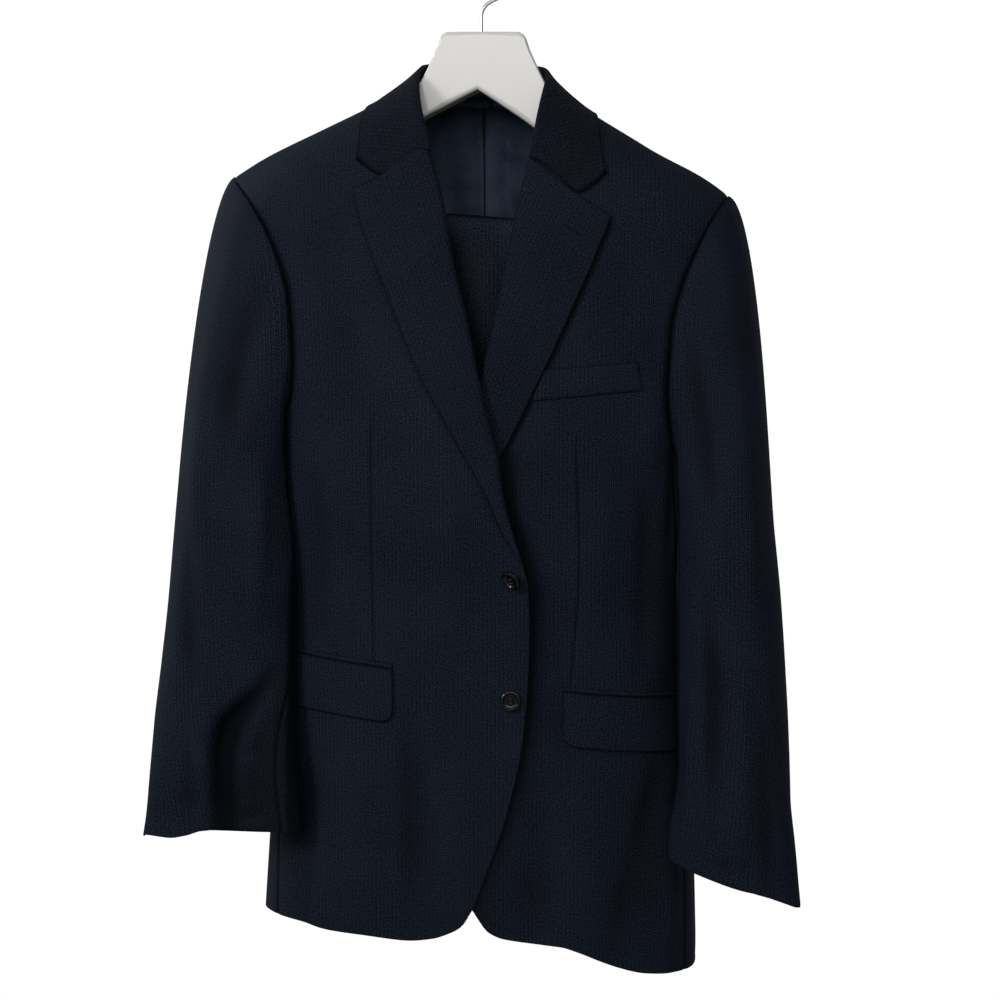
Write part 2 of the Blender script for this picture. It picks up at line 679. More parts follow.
def run_along(points, axis):
    """Distance along the rows (axis 1) or the columns (axis 0) of a grid, from its start."""
    steps = np.linalg.norm(np.diff(points, axis=axis), axis=-1)
    start = np.zeros_like(np.take(steps, [0], axis=axis))
    return np.concatenate([start, np.cumsum(steps, axis=axis)], axis=axis)


def near_edge(points, edges, reach):
    """1 on a grid's edges and 0 beyond their reach. An edge is its axis and whether it is the far one."""
    near = np.zeros(points.shape[:2])
    for axis, far in edges:
        away = run_along(points, axis)
        if far:
            away = np.take(away, [-1], axis=axis) - away
        near = np.maximum(near, bell(away, reach))
    return near


def rolled(points, normals, edges, depth=ROLL_IN, reach=ROLL_REACH, hollow=SEAM_HOLLOW):
    """Turns a grid's seam edges in. Gives the points, and how deep each one lies in the seam's hollow."""
    near = near_edge(points, edges, reach)
    return points - normals * (depth * near)[..., None], hollow * near


def grid_faces(rows, columns):
    index = np.arange(rows * columns).reshape(rows, columns)
    corners = [index[:-1, :-1], index[:-1, 1:], index[1:, 1:], index[1:, :-1]]
    return np.stack(corners, axis=-1).reshape(-1, 4)


# %% Helpers for meshes
def select_only(piece):
    bpy.ops.object.select_all(action="DESELECT")
    piece.select_set(True)
    bpy.context.view_layer.objects.active = piece


def apply_modifier(piece, kind, **settings):
    """Adds a modifier to the active piece and applies it, as the Apply button does."""
    made = piece.modifiers.new(kind.lower(), kind)
    for key, value in settings.items():
        setattr(made, key, value)
    bpy.ops.object.modifier_apply(modifier=made.name)


def edit_all(operator, **settings):
    """Runs one mesh operator on the whole of the active piece."""
    bpy.ops.object.mode_set(mode="EDIT")
    bpy.ops.mesh.select_all(action="SELECT")
    operator(**settings)
    bpy.ops.object.mode_set(mode="OBJECT")


# %% Sheet helper
def cloth(name, points, out, across, along, wall, node, finish, hollow,
          closed=False):
    """A sheet of cloth whose outer face is a grid of points. out points away from the wearer.

    across and along are its map in metres. finish is its outer and its inner material. closed welds
    the last column to the first. hollow is how far each point lies in a seam or under an edge, where
    little light comes.
    """
    points = leaned(points)
    faces = grid_faces(*points.shape[:2])
    flat = points.reshape(-1, 3)
    corner = flat[faces]
    normal = np.cross(corner[:, 1] - corner[:, 0], corner[:, 3] - corner[:, 0])
    area = float(np.linalg.norm(normal, axis=1).sum())
    if (normal * out.reshape(-1, 3)[faces[:, 0]]).sum() < 0:
        faces = faces[:, ::-1]
    mesh = bpy.data.meshes.new(name)
    mesh.from_pydata(flat.tolist(), [], faces.tolist())
    places = np.stack([across, along], axis=-1).reshape(-1, 2)[faces.reshape(-1)]
    mesh.uv_layers.new(name="cloth").data.foreach_set("uv", places.astype(np.float32).ravel())
    depth = np.broadcast_to(hollow, points.shape[:2]).astype(np.float32).ravel()
    mesh.attributes.new("hollow", "FLOAT", "POINT").data.foreach_set("value", depth)
    piece = bpy.data.objects.new(name, mesh)
    bpy.context.scene.collection.objects.link(piece)
    for made in finish:
        mesh.materials.append(made)
    select_only(piece)
    if closed:
        edit_all(bpy.ops.mesh.remove_doubles, threshold=1e-6)
    apply_modifier(piece, "SOLIDIFY", thickness=wall, offset=-1, material_offset=1)
    apply_modifier(piece, "BEVEL", limit_method="ANGLE", angle_limit=radians(60), width=wall * 0.3,
                   segments=2)
    bpy.ops.object.shade_smooth_by_angle(angle=radians(45))
    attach(piece, "root")
    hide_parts(node)
    size = [max(LEAST_CUT, float(reach.max()))
            for reach in (run_along(points, 1)[:, -1], run_along(points, 0)[-1])]
    area = min(max(area, 0.3 * size[0] * size[1]), size[0] * size[1])
    print(f"{name}: cut {size[0]:.3f} x {size[1]:.3f} m, {area:.4f} m2, {len(piece.data.polygons)} faces")


BODY_FINISH, ALL_WOOL = (wool, lining_satin), (wool, wool)

# %% [markdown]
# ## Fronts, sides and back
#
# The fronts are cut with a shaped front edge that rounds away to the hem. A dart nips each one from
# under the chest to the pocket. The front edge is pressed thin, while the side, armhole and shoulder edges
# turn into their seams, so a fine shadow line shows there. The back is two halves that meet in the
# middle, and a narrow panel under each arm joins back and front.

# %% Tables of the fronts
# Front edge, roll line and neckline: z, distance from the centre to the piece's own side.
EDGE = {
    RIGHT: [(-0.869, 0.002), (-0.828, -0.0126), (-0.78, -0.028), (-0.724, -0.0406),
            (-0.692, -0.0447), (-0.653, -0.0477), (-0.614, -0.0491), (-0.5756, -0.0485),
            (-0.543, -0.042), (-0.49, -0.027), (-0.455, -0.0226), (-0.422, -0.0141),
            (-0.372, -0.0019), (-0.3305, 0.0068), (-0.297, 0.0158), (-0.243, 0.0261),
            (-0.223, 0.0306), (-0.198, 0.0379), (-0.187, 0.041), (-0.17, 0.049),
            (-0.15, 0.0585), (-0.1355, 0.068), (-0.1265, NECK_HALF)],
    LEFT: [(-0.869, -0.004), (-0.828, -0.018), (-0.78, -0.033), (-0.724, -0.045),
           (-0.692, -0.0485), (-0.653, -0.051), (-0.614, -0.052), (-0.5756, -0.0515),
           (-0.543, -0.044), (-0.5, -0.028), (-0.45, -0.013), (-0.405, 0.0),
           (-0.368, 0.0093), (-0.346, 0.0135), (-0.321, 0.0201), (-0.294, 0.0249),
           (-0.247, 0.0341), (-0.211, 0.0416), (-0.187, 0.0485), (-0.17, 0.0585),
           (-0.15, 0.0635), (-0.1355, 0.0695), (-0.1265, NECK_HALF)],
}
# Hem: distance from the centre to the piece's own side, z.
HEM = {
    RIGHT: [(0.002, -0.869), (0.0125, -0.8867), (0.0253, -0.8952), (0.038, -0.9009), (0.0638, -0.9066),
            (0.1025, -0.9081), (0.141, -0.9099), (0.1667, -0.9086), (0.192, -0.9095), (0.211, -0.9165)],
    LEFT: [(-0.004, -0.869), (0.013, -0.89), (0.0263, -0.894), (0.052, -0.8952), (0.078, -0.8955),
           (0.0905, -0.8981), (0.13, -0.9112), (0.155, -0.9158), (0.171, -0.9165), (0.2, -0.9163)],
}
# Dart of each front, from its top to its foot: z, distance from the centre to its own side.
DART = {RIGHT: [(-0.66, 0.0935), (-0.54, 0.0945), (-0.44, 0.094)],
        LEFT: [(-0.66, 0.086), (-0.54, 0.0935), (-0.44, 0.0905)]}
# Outer edge of each lapel, from its tip to the break: z, distance from the centre to its own side.
LAPEL_EDGE = {
    RIGHT: [(-0.2241, 0.1114), (-0.2312, 0.1096), (-0.2518, 0.1047), (-0.2796, 0.0944),
            (-0.3449, 0.0674), (-0.3852, 0.049), (-0.4341, 0.0216), (-0.4842, -0.0083),
            (-0.5267, -0.0286), (-0.55, -0.044)],
    LEFT: [(-0.2327, 0.1197), (-0.2489, 0.1146), (-0.2598, 0.1096), (-0.272, 0.1054),
           (-0.3007, 0.0932), (-0.3416, 0.0758), (-0.3876, 0.0548), (-0.4478, 0.0262),
           (-0.485, 0.002), (-0.527, -0.027), (-0.55, -0.046)],
}
LAPEL_SHADOW = {RIGHT: (0.45, 0.0022), LEFT: (0.9, 0.004)}     # on the front below: depth, width
WORDS = {RIGHT: "right", LEFT: "left"}
# The turn and the darkness of the low part of an armhole's edge.
ARMHOLE_ROLL, ARMHOLE_REACH, ARMHOLE_HOLLOW = 0.0022, 0.0052, 0.96
DART_PLACE = 0.42         # part of a row's length at which the dart's step lies
DART_STEPS = [DART_PLACE + d for d in (-0.012, -0.006, -0.003, 0.0, 0.003, 0.006, 0.012)]
print("chest darts", [round(curve(DART[side])(-0.5).item(), 4) for side in (RIGHT, LEFT)])


# %% Rows of a front
def front_edge(side, z):
    """Distance of a front's edge from the centre: drawn back where the lapel rolls over it."""
    hidden = window(z, BREAK_LEVEL + 0.004, BREAK_LEVEL + 0.04, GORGE_LEVEL - 0.03, GORGE_LEVEL)
    return curve(EDGE[side])(z) + 0.0032 * hidden


def side_seam(face, z):
    """Distance from the centre of the side seams at a level."""
    high, low = SIDE_SEAM[face]
    return blend(high, low, ease(ARMHOLE_LOW - z, 0.0, ARMHOLE_LOW - BACK_HEM))


def with_dart(start, end, across, turn):
    """Bends a row's steps so that the dart's step falls on the dart."""
    target = (turn - start) / (end - start)
    first = across * target / DART_PLACE
    last = target + (across - DART_PLACE) * (1 - target) / (1 - DART_PLACE)
    return np.where(across < DART_PLACE, first, last)


def front_lower(side, part, across):
    """Rows from the hem to the foot of the armhole."""
    hem = curve(HEM[side])
    corner, seam_end = HEM[side][0][1], HEM[side][-2][1]
    z_edge = blend(corner, ARMHOLE_LOW, part)
    z_side = blend(seam_end, ARMHOLE_LOW, part)
    start = turn_at(side * front_edge(side, z_edge), z_edge) * side
    end = turn_at(side * side_seam(FRONT, z_side), z_side) * side - half_gap(z_side)
    dart_x = curve(DART[side])(blend(z_edge, z_side, 0.4))
    across = with_dart(start, end, across, turn_at(side * dart_x, z_edge) * side)
    turn = blend(start, end, across) * side
    z = blend(z_edge, z_side, across)
    fade = np.maximum(0.0, 1 - part / 0.35) ** 2
    x = section_point(turn, z)[0]
    z = z + (hem(side * x) - blend(corner, seam_end, across)) * fade
    return section_point(turn, z)[0], z


def upper_rows(side, inner, arm, part, across):
    """Rows above the foot of the armhole: they turn from level to the line of the shoulders."""
    (x_in, z_in), (x_arm, z_arm) = (np.moveaxis(line[:, None], -1, 0) for line in (inner, arm))
    start = turn_at(side * x_in, z_in) * side
    end = turn_at(side * x_arm, z_arm) * side
    dart_x = curve(DART[side])(z_in)
    bent = with_dart(start, end, across, turn_at(side * dart_x, z_in) * side)
    across = blend(bent, across, ease(part, 0.25, 0.7))
    turn = blend(start, end, across)
    level = blend(z_in, z_arm, across)
    low = blend(shoulder(x_in) - z_in, shoulder(x_arm) - z_arm, across)
    z = level
    for _ in range(2):
        x = section_point(turn, z)[0]
        x = np.where(across <= 0, x_in, np.where(across >= 1, x_arm, x))
        z = blend(level, shoulder(x) - low, ease(part, 0.0, 1.0))
    return side * x, np.minimum(z, shoulder(x))


# %% Grid of a front
def front_points(side, rows_low=96, rows_up=84, columns=56):
    """Grid of a front's outer face, row by row from the hem, each from the front edge to the side."""
    across = spread(columns, SEAM_STEPS, SEAM_STEPS)
    across = across[np.abs(across - DART_PLACE) > 0.013]
    across = np.array(sorted(set(np.round(across, 6)) | set(DART_STEPS)))
    low = spread(rows_low, HEM_STEPS)[:-1]
    x, z = front_lower(side, low[:, None], across[None, :])
    up = 1 - (1 - spread(rows_up, (), END_STEPS)) ** 1.5
    levels = np.array([ARMHOLE_LOW] + [row[0] for row in EDGE[side] if row[0] > ARMHOLE_LOW])
    edge_line = path(np.stack([front_edge(side, levels), levels], axis=-1))
    x_up, z_up = upper_rows(side, edge_line(up), path(ARMHOLE_FRONT[side])(up), up[:, None],
                            across[None, :])
    return np.concatenate([x, x_up]), np.concatenate([z, z_up])


# %% From a grid to a body panel
def body_sheet(points, face, side, seams):
    """Folds and seam turns over a grid that lies on the body."""
    normals = outward(points)
    lift = panel_lift(side, points[..., 0], points[..., 2]) if face == FRONT else 0.0
    height = body_fold(points, face)
    points = points + normals * (lift + height)[..., None]
    z = points[..., 2]
    armhole = window(z, ARMHOLE_LOW - 0.01, ARMHOLE_LOW + 0.03, -0.33, -0.23)
    points, hollow = rolled(points, normals, seams, blend(ROLL_IN, ARMHOLE_ROLL, armhole),
                            blend(ROLL_REACH, ARMHOLE_REACH, armhole),
                            blend(SEAM_HOLLOW, ARMHOLE_HOLLOW, armhole))
    return points, normals, np.maximum(hollow, 0.38 * cavity(height, 0.006))


def grain_map(points, start_x):
    """Map of a body panel: metres round the body, and up it."""
    steps = np.diff(points, axis=1)
    level = np.hypot(steps[..., 0], steps[..., 1]) * np.sign(steps[..., 0].mean())
    across = start_x + np.concatenate([np.zeros((len(points), 1)), np.cumsum(level, axis=1)], axis=1)
    return across, run_along(points, 0) + points[0, :, 2].mean()


# %% Fronts
for side, word in WORDS.items():
    x, z = front_points(side)
    points = on_body(x, z, FRONT)
    from_dart = side * x - curve(DART[side])(z)
    inside = window(z, -0.668, -0.65, -0.445, -0.425)
    pinch = bell(from_dart, 0.0013) - 0.35 * bell(from_dart, 0.008)
    points = points - outward(points) * (0.0011 * pinch * inside)[..., None]
    points, normals, hollow = body_sheet(points, FRONT, side, [(1, True), (0, True)])
    hollow = np.maximum(hollow, 0.6 * inside * bell(from_dart, 0.0009))
    shade, reach = LAPEL_SHADOW[side]
    beyond = np.maximum(side * x - curve(LAPEL_EDGE[side])(z), 0)
    below = window(z, BREAK_LEVEL, BREAK_LEVEL + 0.03, -0.242, LAPEL_EDGE[side][0][0])
    hollow = np.maximum(hollow, shade * bell(beyond, reach) * below)
    if side == LEFT:        # the right front lies over it and shades a strip beside its edge
        beyond = np.maximum(x + curve(EDGE[RIGHT])(z), 0)
        under = 0.85 * bell(beyond, 0.0125) * (1 - ease(z, -0.46, -0.36))
        hollow = np.maximum(hollow, under * (1 - 0.45 * ease(z, -0.6, -0.88)))
    across, along = grain_map(points, points[:, :1, 0])
    cloth(f"{word}_front_cloth", points, normals, across, along, CLOTH, f"{word}_front",
          BODY_FINISH, hollow)


# %% Side panels
def side_points(side, rows=110, columns=26):
    """Grid of a side panel, row by row from the hem, each row from front to back."""
    part = spread(rows, HEM_STEPS)[:, None]
    across = spread(columns, NARROW_STEPS, NARROW_STEPS)[None, :]
    floor = blend(ARMHOLE_LOW, ARMHOLE_FLOOR, np.sin(pi * across))
    z = blend(blend(HEM[side][-2][1], BACK_HEM, ease(across, 0.0, 0.6)), floor, part)
    start = turn_at(side * side_seam(FRONT, z), z) * side + half_gap(z)
    end = pi - turn_at(side * side_seam(BACK, z), z) * side - half_gap(z)
    x, depth = section_point(side * blend(start, end, across), z)
    return np.stack([x, -depth * body_depth(-depth, z), z], axis=-1)


for side, word in WORDS.items():
    points = side_points(side)
    normals = outward(points)
    toward_front = ease(-points[..., 1], -0.03, 0.03)
    height = blend(body_fold(points, BACK), body_fold(points, FRONT), toward_front)
    points = points + normals * height[..., None]
    points, hollow = rolled(points, normals, [(1, False), (1, True)])
    along = run_along(points, 0) + points[0, :, 2].mean()
    cloth(f"{word}_side_cloth", points, normals, side * (0.22 + run_along(points, 1)), along, CLOTH,
          f"{word}_side_panel", BODY_FINISH, hollow)


# %% Back
def neck_drop(x):
    """How far the back's neck edge lies under the line of the shoulders."""
    return NECK_DIP * np.maximum(0.0, 1 - (np.abs(x) / NECK_HALF) ** 1.6)


def back_points(side, rows_low=88, rows_up=84, columns=44):
    """Grid of half the back, row by row from the hem, each row from the centre to the side."""
    across = spread(columns, PANEL_STEPS, SEAM_STEPS)[None, :]
    part = spread(rows_low, HEM_STEPS)[:-1, None]
    z = blend(BACK_HEM, ARMHOLE_LOW, part) + 0 * across
    end = turn_at(side * side_seam(BACK, z), z) * side - half_gap(z)
    start = turn_at(0.0 * z, z)
    low = on_body(section_point(blend(start, end * side, across), z)[0], z, BACK)
    up = 1 - (1 - spread(rows_up, (), END_STEPS)) ** 1.5
    x_arm, z_arm = (line[:, None] for line in path(ARMHOLE_BACK[side])(up).T)
    turn = turn_at(side * x_arm, z_arm) * across
    x = np.where(across > 0, section_point(turn, z_arm)[0], 0.0)
    top = shoulder(np.abs(x)) - neck_drop(x)
    part = up[:, None]
    z = blend(ARMHOLE_LOW, top, part)
    z = z + (z_arm - blend(ARMHOLE_LOW, shoulder(x_arm), part)) * across ** 2
    return np.concatenate([low, on_body(x, np.minimum(z, shoulder(np.abs(x))), BACK)])


for side, word in WORDS.items():
    points, normals, hollow = body_sheet(back_points(side), BACK, side, [(1, False), (1, True), (0, True)])
    across, along = grain_map(points, 0.0)
    cloth(f"{word}_back_cloth", points, normals, across, along, CLOTH, f"back_{word}",
          BODY_FINISH, hollow)

# %% [markdown]
# ## Lapels
#
# A lapel is the upper front turned back on itself. Seen from the neck it is a soft roll, not a crease: the
# cloth comes round the edge in a small half circle and then lies almost flat, with a little spring in
# the middle. The grid's first columns go round that half circle, and the rest lie on the front. The
# stripe runs parallel to the outer edge, because that edge is cut along the grain.

# %% Tables of the lapels
# Seam between lapel and collar, and on to the lapel's tip: distance from the centre, z.
GORGE = {
    RIGHT: [(0.041, -0.187), (0.0515, -0.1853), (0.065, -0.194), (0.0854, -0.2113)],
    LEFT: [(0.047, -0.187), (0.056, -0.1925), (0.07, -0.203), (0.0911, -0.2172)],
}
# Lift of a lapel off its front, from the roll line (0) to its outer edge (1).
LAPEL_LIFT = [(0.0, 0.0004), (0.08, 0.0026), (0.3, 0.0036), (0.7, 0.0022), (1.0, 0.0014)]
GRAIN_TURN = {RIGHT: radians(21), LEFT: radians(-23.5)}
ROLL_RADIUS = 0.0034      # of the half circle at the roll line
LAPEL_SHADE, COLLAR_SHADE = 0.13, 0.33     # both lie across the grain and look darker for it


# %% Lapels
def lapel_points(side, rows=110, columns=36, turns=7):
    """Grid of a lapel's visible face, row by row from the break, each from under the roll to the edge."""
    edge = curve(EDGE[side])
    levels = np.linspace(BREAK_LEVEL, GORGE_LEVEL, 13)
    roll = path(np.stack([edge(levels), levels], axis=-1))
    outer = path([(x, z) for z, x in reversed(LAPEL_EDGE[side])])
    top = path(GORGE[side] + [LAPEL_EDGE[side][0][::-1]])
    up = spread(rows, (), CAP_STEPS)
    wide = np.linalg.norm(outer(up) - roll(up), axis=1)
    radius = np.minimum(0.0008 + ROLL_RADIUS * ease(up, 0.0, 0.14), 0.3 * wide)[:, None]
    across = blend(radius / wide[:, None], 1.0, spread(columns, (), END_STEPS))
    rim = blend(roll(up)[:, None], outer(up)[:, None], across[..., None])
    bend = top(across) - blend(roll(1.0), outer(1.0), across[..., None])
    flat = rim + bend * up[:, None, None] ** 3
    x, z = side * flat[..., 0], flat[..., 1]
    lift = curve(LAPEL_LIFT)(across) * ease(up[:, None], 0.0, 0.25) + REST + LAPEL_WALL
    level, normals = on_cloth(x, z, FRONT, panel_lift(side, x, z) + lift)
    away = unit(level[:, 2] - level[:, 0])[:, None]
    out = normals[:, :1]
    round_it = np.linspace(pi * 1.1, 0.12, turns)[None, :, None]
    radius = radius[..., None]
    turned = level[:, :1] - away * radius * np.sin(round_it) - out * radius * (1 - np.cos(round_it))
    points = np.concatenate([turned, level], axis=1)
    points[-1] += unit(points[-2] - points[-1]) * 0.0009
    return points, np.concatenate([np.repeat(out, turns, axis=1), normals], axis=1)


for side, word in WORDS.items():
    points, normals = lapel_points(side)
    placed_points = leaned(points)
    turn = GRAIN_TURN[side]
    across = placed_points[..., 0] * cos(turn) + placed_points[..., 2] * sin(turn)
    along = placed_points[..., 2] * cos(turn) - placed_points[..., 0] * sin(turn)
    hollow = 0.7 * near_edge(points, [(1, True)], 0.0013)
    hollow = np.maximum(hollow, 0.6 * near_edge(points, [(0, True)], 0.001) + LAPEL_SHADE)
    cloth(f"{word}_lapel_cloth", points, normals, across, along, LAPEL_WALL, f"{word}_lapel",
          ALL_WOOL, hollow)

# %% [markdown]
# ## Collar
#
# The collar is one folded strip: a stand that rises from the neck seam, a fold round the top, and a fall
# that lies over the shoulders and ends in the notch. Each cross-section is a smooth line through the neck
# seam, the stand, the crown of the fold and the fall. The stripe runs straight up the centre back, so
# it crosses the collar from fold to edge all the way round.

# %% Tables of the collar
# Fold x, y, z; leaf edge x, y, z; part of the neckline. Both sides end in the same two rows.
COLLAR_BACK = [
    ((0.028, 0.064, -0.0905), (0.04, 0.074, -0.1355), 0.88),
    ((0.0, 0.07, -0.0895), (0.0, 0.078, -0.1345), 1.0),
]
# From the gorge to the centre back.
COLLAR = {
    RIGHT: [
        ((0.0395, -0.073, -0.1862), (0.1085, -0.072, -0.1975), 0.03),
        ((0.0424, -0.0705, -0.1714), (0.1075, -0.064, -0.1835), 0.1),
        ((0.0467, -0.0675, -0.1582), (0.1078, -0.048, -0.168), 0.19),
        ((0.0525, -0.053, -0.136), (0.1065, -0.024, -0.1485), 0.31),
        ((0.0572, -0.019, -0.112), (0.103, 0.0, -0.14), 0.46),
        ((0.058, 0.018, -0.1), (0.095, 0.026, -0.138), 0.62),
        ((0.05, 0.045, -0.094), (0.074, 0.056, -0.137), 0.76),
        *COLLAR_BACK],
    LEFT: [
        ((0.0455, -0.073, -0.187), (0.115, -0.072, -0.196), 0.03),
        ((0.0485, -0.0705, -0.175), (0.1125, -0.064, -0.1835), 0.1),
        ((0.051, -0.0675, -0.16), (0.1095, -0.048, -0.168), 0.19),
        ((0.0545, -0.053, -0.138), (0.1065, -0.024, -0.149), 0.31),
        ((0.0575, -0.019, -0.114), (0.1025, 0.0, -0.1405), 0.46),
        ((0.056, 0.018, -0.1015), (0.0945, 0.026, -0.1385), 0.62),
        ((0.0485, 0.045, -0.0945), (0.074, 0.056, -0.1372), 0.76),
        *COLLAR_BACK],
}
# How far the collar's end drops from the straight line fold to tip: part of the way, drop.
NOTCH_DROP = {
    RIGHT: [(0.0, 0.0), (0.18, -0.002), (0.37, 0.004), (0.66, 0.018), (1.0, 0.0)],
    LEFT: [(0.0, 0.0), (0.18, 0.003), (0.37, 0.01), (0.66, 0.022), (1.0, 0.0)],
}
LEAF_STEPS = (0.18, 0.37, 0.66, 0.84, 1.0)
FOLD_HALF = 0.0025
CREST_COLUMN, LEAF_COLUMN = 14, 20      # of the grid: near the fold's top, and on the fall
END_TILT = ((0, radians(96)), (1, radians(75)))     # of the map's axes at the right and the left end


# %% Where the collar lies
def neckline(side):
    """The edge of front and back that the collar is sewn to, from the gorge to the centre back."""
    levels = np.linspace(GORGE_LEVEL + 0.006, SHOULDER[4][1], 9)
    front = on_body(side * curve(EDGE[side])(levels), levels, FRONT)
    x = NECK_HALF * (1 - np.arange(1, 10) / 9)
    return path(np.concatenate([front, on_body(side * x, shoulder(x) - neck_drop(x), BACK)]))


def clear_of_body(point, room):
    """Moves a point out until it has this much room to the body's outer surface."""
    x, y, z = point
    part = min(abs(x - sway(z)) / half_width(z), 0.999)
    depth = body_depth(y, z) * box_depth(part) + room
    spring = shoulder(abs(x)) - ARCH
    if z > spring:
        size = np.hypot(y / depth, (z - spring) / (ARCH + room))
        return np.array((x, y / size, spring + (z - spring) / size)) if size < 1 else point
    return np.array((x, depth if y > 0 else -depth, z)) if abs(y) < depth else point


# %% Cross-sections of the collar
def collar_section(side, along, lines):
    """Points across the collar at a place from the gorge (0) to the centre back (1)."""
    mirror = np.array((side, 1, 1))
    fold_line, leaf_line, neck_line, parts = lines
    fold, leaf = fold_line(along) * mirror, leaf_line(along) * mirror
    neck = neck_line(parts(along))
    run = (fold_line(min(along + 0.02, 1)) - fold_line(max(along - 0.02, 0))) * mirror
    crest = fold - (leaf + neck) / 2
    crest = unit(crest - run * (crest @ run) / (run @ run))
    out = unit(np.cross(run, crest)) * side
    free = ease(along, 0.0, 0.3)
    depth = blend(0.0022, 0.0045, free)
    stand = fold - crest * depth - out * FOLD_HALF
    turned = fold - crest * depth + out * FOLD_HALF
    crown = fold - crest * 0.0008
    neck = neck + unit(stand - neck) * 0.0018
    neck[0] -= side * blend(0.0042, 0.0, free)
    points = [neck, blend(neck, stand, 0.5), stand, crown - out * 0.65 * FOLD_HALF,
              crown + out * 0.65 * FOLD_HALF, turned]
    near_end = max(0.0, 1 - along * 4.8) ** 1.5
    for part in LEAF_STEPS:
        point = blend(turned, leaf, part) + out * 0.0014 * sin(pi * part) * (1 - near_end)
        point[2] -= curve(NOTCH_DROP[side])(part) * near_end
        points.append(clear_of_body(point, LAPEL_WALL + REST))
    return np.array(points)


def collar_points(stations=52, columns=40):
    """Grid of the collar's outer face, from the right gorge round the neck to the left one."""
    parts = spread(columns, (), (0.01, 0.025))
    sections = []
    for side in (RIGHT, LEFT):
        rows = COLLAR[side]
        share = curve([(k / (len(rows) - 1), row[2]) for k, row in enumerate(rows)])
        lines = (path([row[0] for row in rows]), path([row[1] for row in rows]), neckline(side), share)
        places = spread(stations, (0.004, 0.012))
        half = [path(collar_section(side, along, lines))(parts) for along in places]
        sections += half if side == RIGHT else half[-2::-1]
    return np.array(sections)


# %% Collar
points = collar_points()
normals = unit(np.cross(np.gradient(points, axis=0), np.gradient(points, axis=1)))
normals *= np.sign(normals[len(points) // 2, -3, 1])
across = run_along(points, 0)[:, [CREST_COLUMN]] + 0 * points[..., 0]
along = run_along(points, 1)
part = np.linspace(0, 1, len(points))[:, None]
for end, tilt in END_TILT:     # the flat ends keep a straight map
    join = int(abs(end - 0.2) * len(points))
    weight = 1 - ease(np.abs(part - end), 0.12, 0.26)
    turned = (leaned(points) @ np.array((cos(tilt), 0, -sin(tilt))) * (1 if end else -1),
              leaned(points) @ np.array((-sin(tilt), 0, -cos(tilt))))
    across, along = (blend(was, now - now[join, LEAF_COLUMN] + was[join, LEAF_COLUMN], weight)
                     for was, now in zip((across, along), turned))
leaf = np.linspace(0, 1, points.shape[1])[None, :]
notch = ease(leaf, 0.6, 0.72)
ends = near_edge(points, [(0, False), (0, True)], blend(0.0012, 0.003, notch))
ends = np.minimum(ends * blend(0.25, 2.0, notch), 0.97)
edges = np.maximum(ends, 0.8 * near_edge(points, [(1, True)], 0.0012))
cloth("collar_cloth", points, normals, across, along, LAPEL_WALL, "collar",
      ALL_WOOL, blend(COLLAR_SHADE, 1.0, edges))

# %% [markdown]
# ## Sleeves
#
# A tailored sleeve is two parts, a wide top and a narrow under part, sewn into the armhole with a
# little fullness so that the head stands up in a soft roll. Empty, it falls forward and flattens towards
# the cuff. The grid starts under the armhole seam, climbs the roll of the head, follows the cap to a
# level below the arm, and then follows level sections down to the cuff.

# %% Tables of the sleeves
# Level sections: z, centre x, half width, centre y, half depth, turn in degrees.
SLEEVE = {
    RIGHT: [
        (-0.5, 0.2262, 0.0557, -0.024, 0.06, 0), (-0.56, 0.229, 0.057, -0.034, 0.055, 4),
        (-0.62, 0.2315, 0.0582, -0.045, 0.049, 9), (-0.68, 0.2343, 0.0608, -0.056, 0.042, 15),
        (-0.735, 0.237, 0.064, -0.065, 0.034, 22), (-0.78, 0.2373, 0.0673, -0.072, 0.025, 29),
        (-0.812, 0.237, 0.07, -0.077, 0.017, 34), (-0.835, 0.2375, 0.0725, -0.08, 0.013, 38),
    ],
    LEFT: [
        (-0.5, 0.2236, 0.0457, -0.024, 0.07, 0), (-0.56, 0.2272, 0.0482, -0.034, 0.064, 4),
        (-0.62, 0.2303, 0.0493, -0.044, 0.057, 9), (-0.68, 0.2327, 0.0502, -0.054, 0.05, 15),
        (-0.735, 0.2342, 0.0505, -0.062, 0.043, 20), (-0.78, 0.2345, 0.0545, -0.069, 0.035, 24),
        (-0.812, 0.2335, 0.0585, -0.074, 0.027, 27), (-0.835, 0.2342, 0.06, -0.077, 0.024, 29),
    ],
}
# Drop of the cuff's edge: angle round the sleeve in degrees, drop.
CUFF_DROP = {
    RIGHT: [(0, 0.007), (32, 0.0038), (53, 0.003), (67, -0.0015), (79, -0.0078), (127, -0.0145),
            (141, -0.0135), (180, -0.0165), (250, -0.006), (360, 0.007)],
    LEFT: [(0, -0.0055), (10, -0.003), (24, -0.0038), (60, -0.012), (110, -0.023), (180, -0.036),
           (220, -0.02), (290, -0.002), (345, -0.003), (360, -0.0055)],
}
SLEEVE_TOP, SLEEVE_SQUARE = -0.5, 2.4
FORE_SEAM, HIND_SEAM = 150, 285     # degrees round the sleeve from its outer side, front first
CHECK_ROW = 60            # row of the grid below the cap, where outwards is away from the middle
ARMHOLE_STAND, HEAD_STAND = 0.0034, {RIGHT: 0.001, LEFT: 0.0002}
HEAD_SLOPE, HEAD_REACH = {RIGHT: 0.6, LEFT: 0.25}, {RIGHT: 0.34, LEFT: 0.33}
# The right sleeve's front seam comes round to the front above the cuff: z, degrees.
SEAM_SHIFT = {RIGHT: [(-0.6, 0), (-0.648, 0), (-0.698, -20), (-0.735, -34), (-0.78, -46), (-0.835, -54)],
              LEFT: [(-0.6, 0), (-0.835, 0)]}
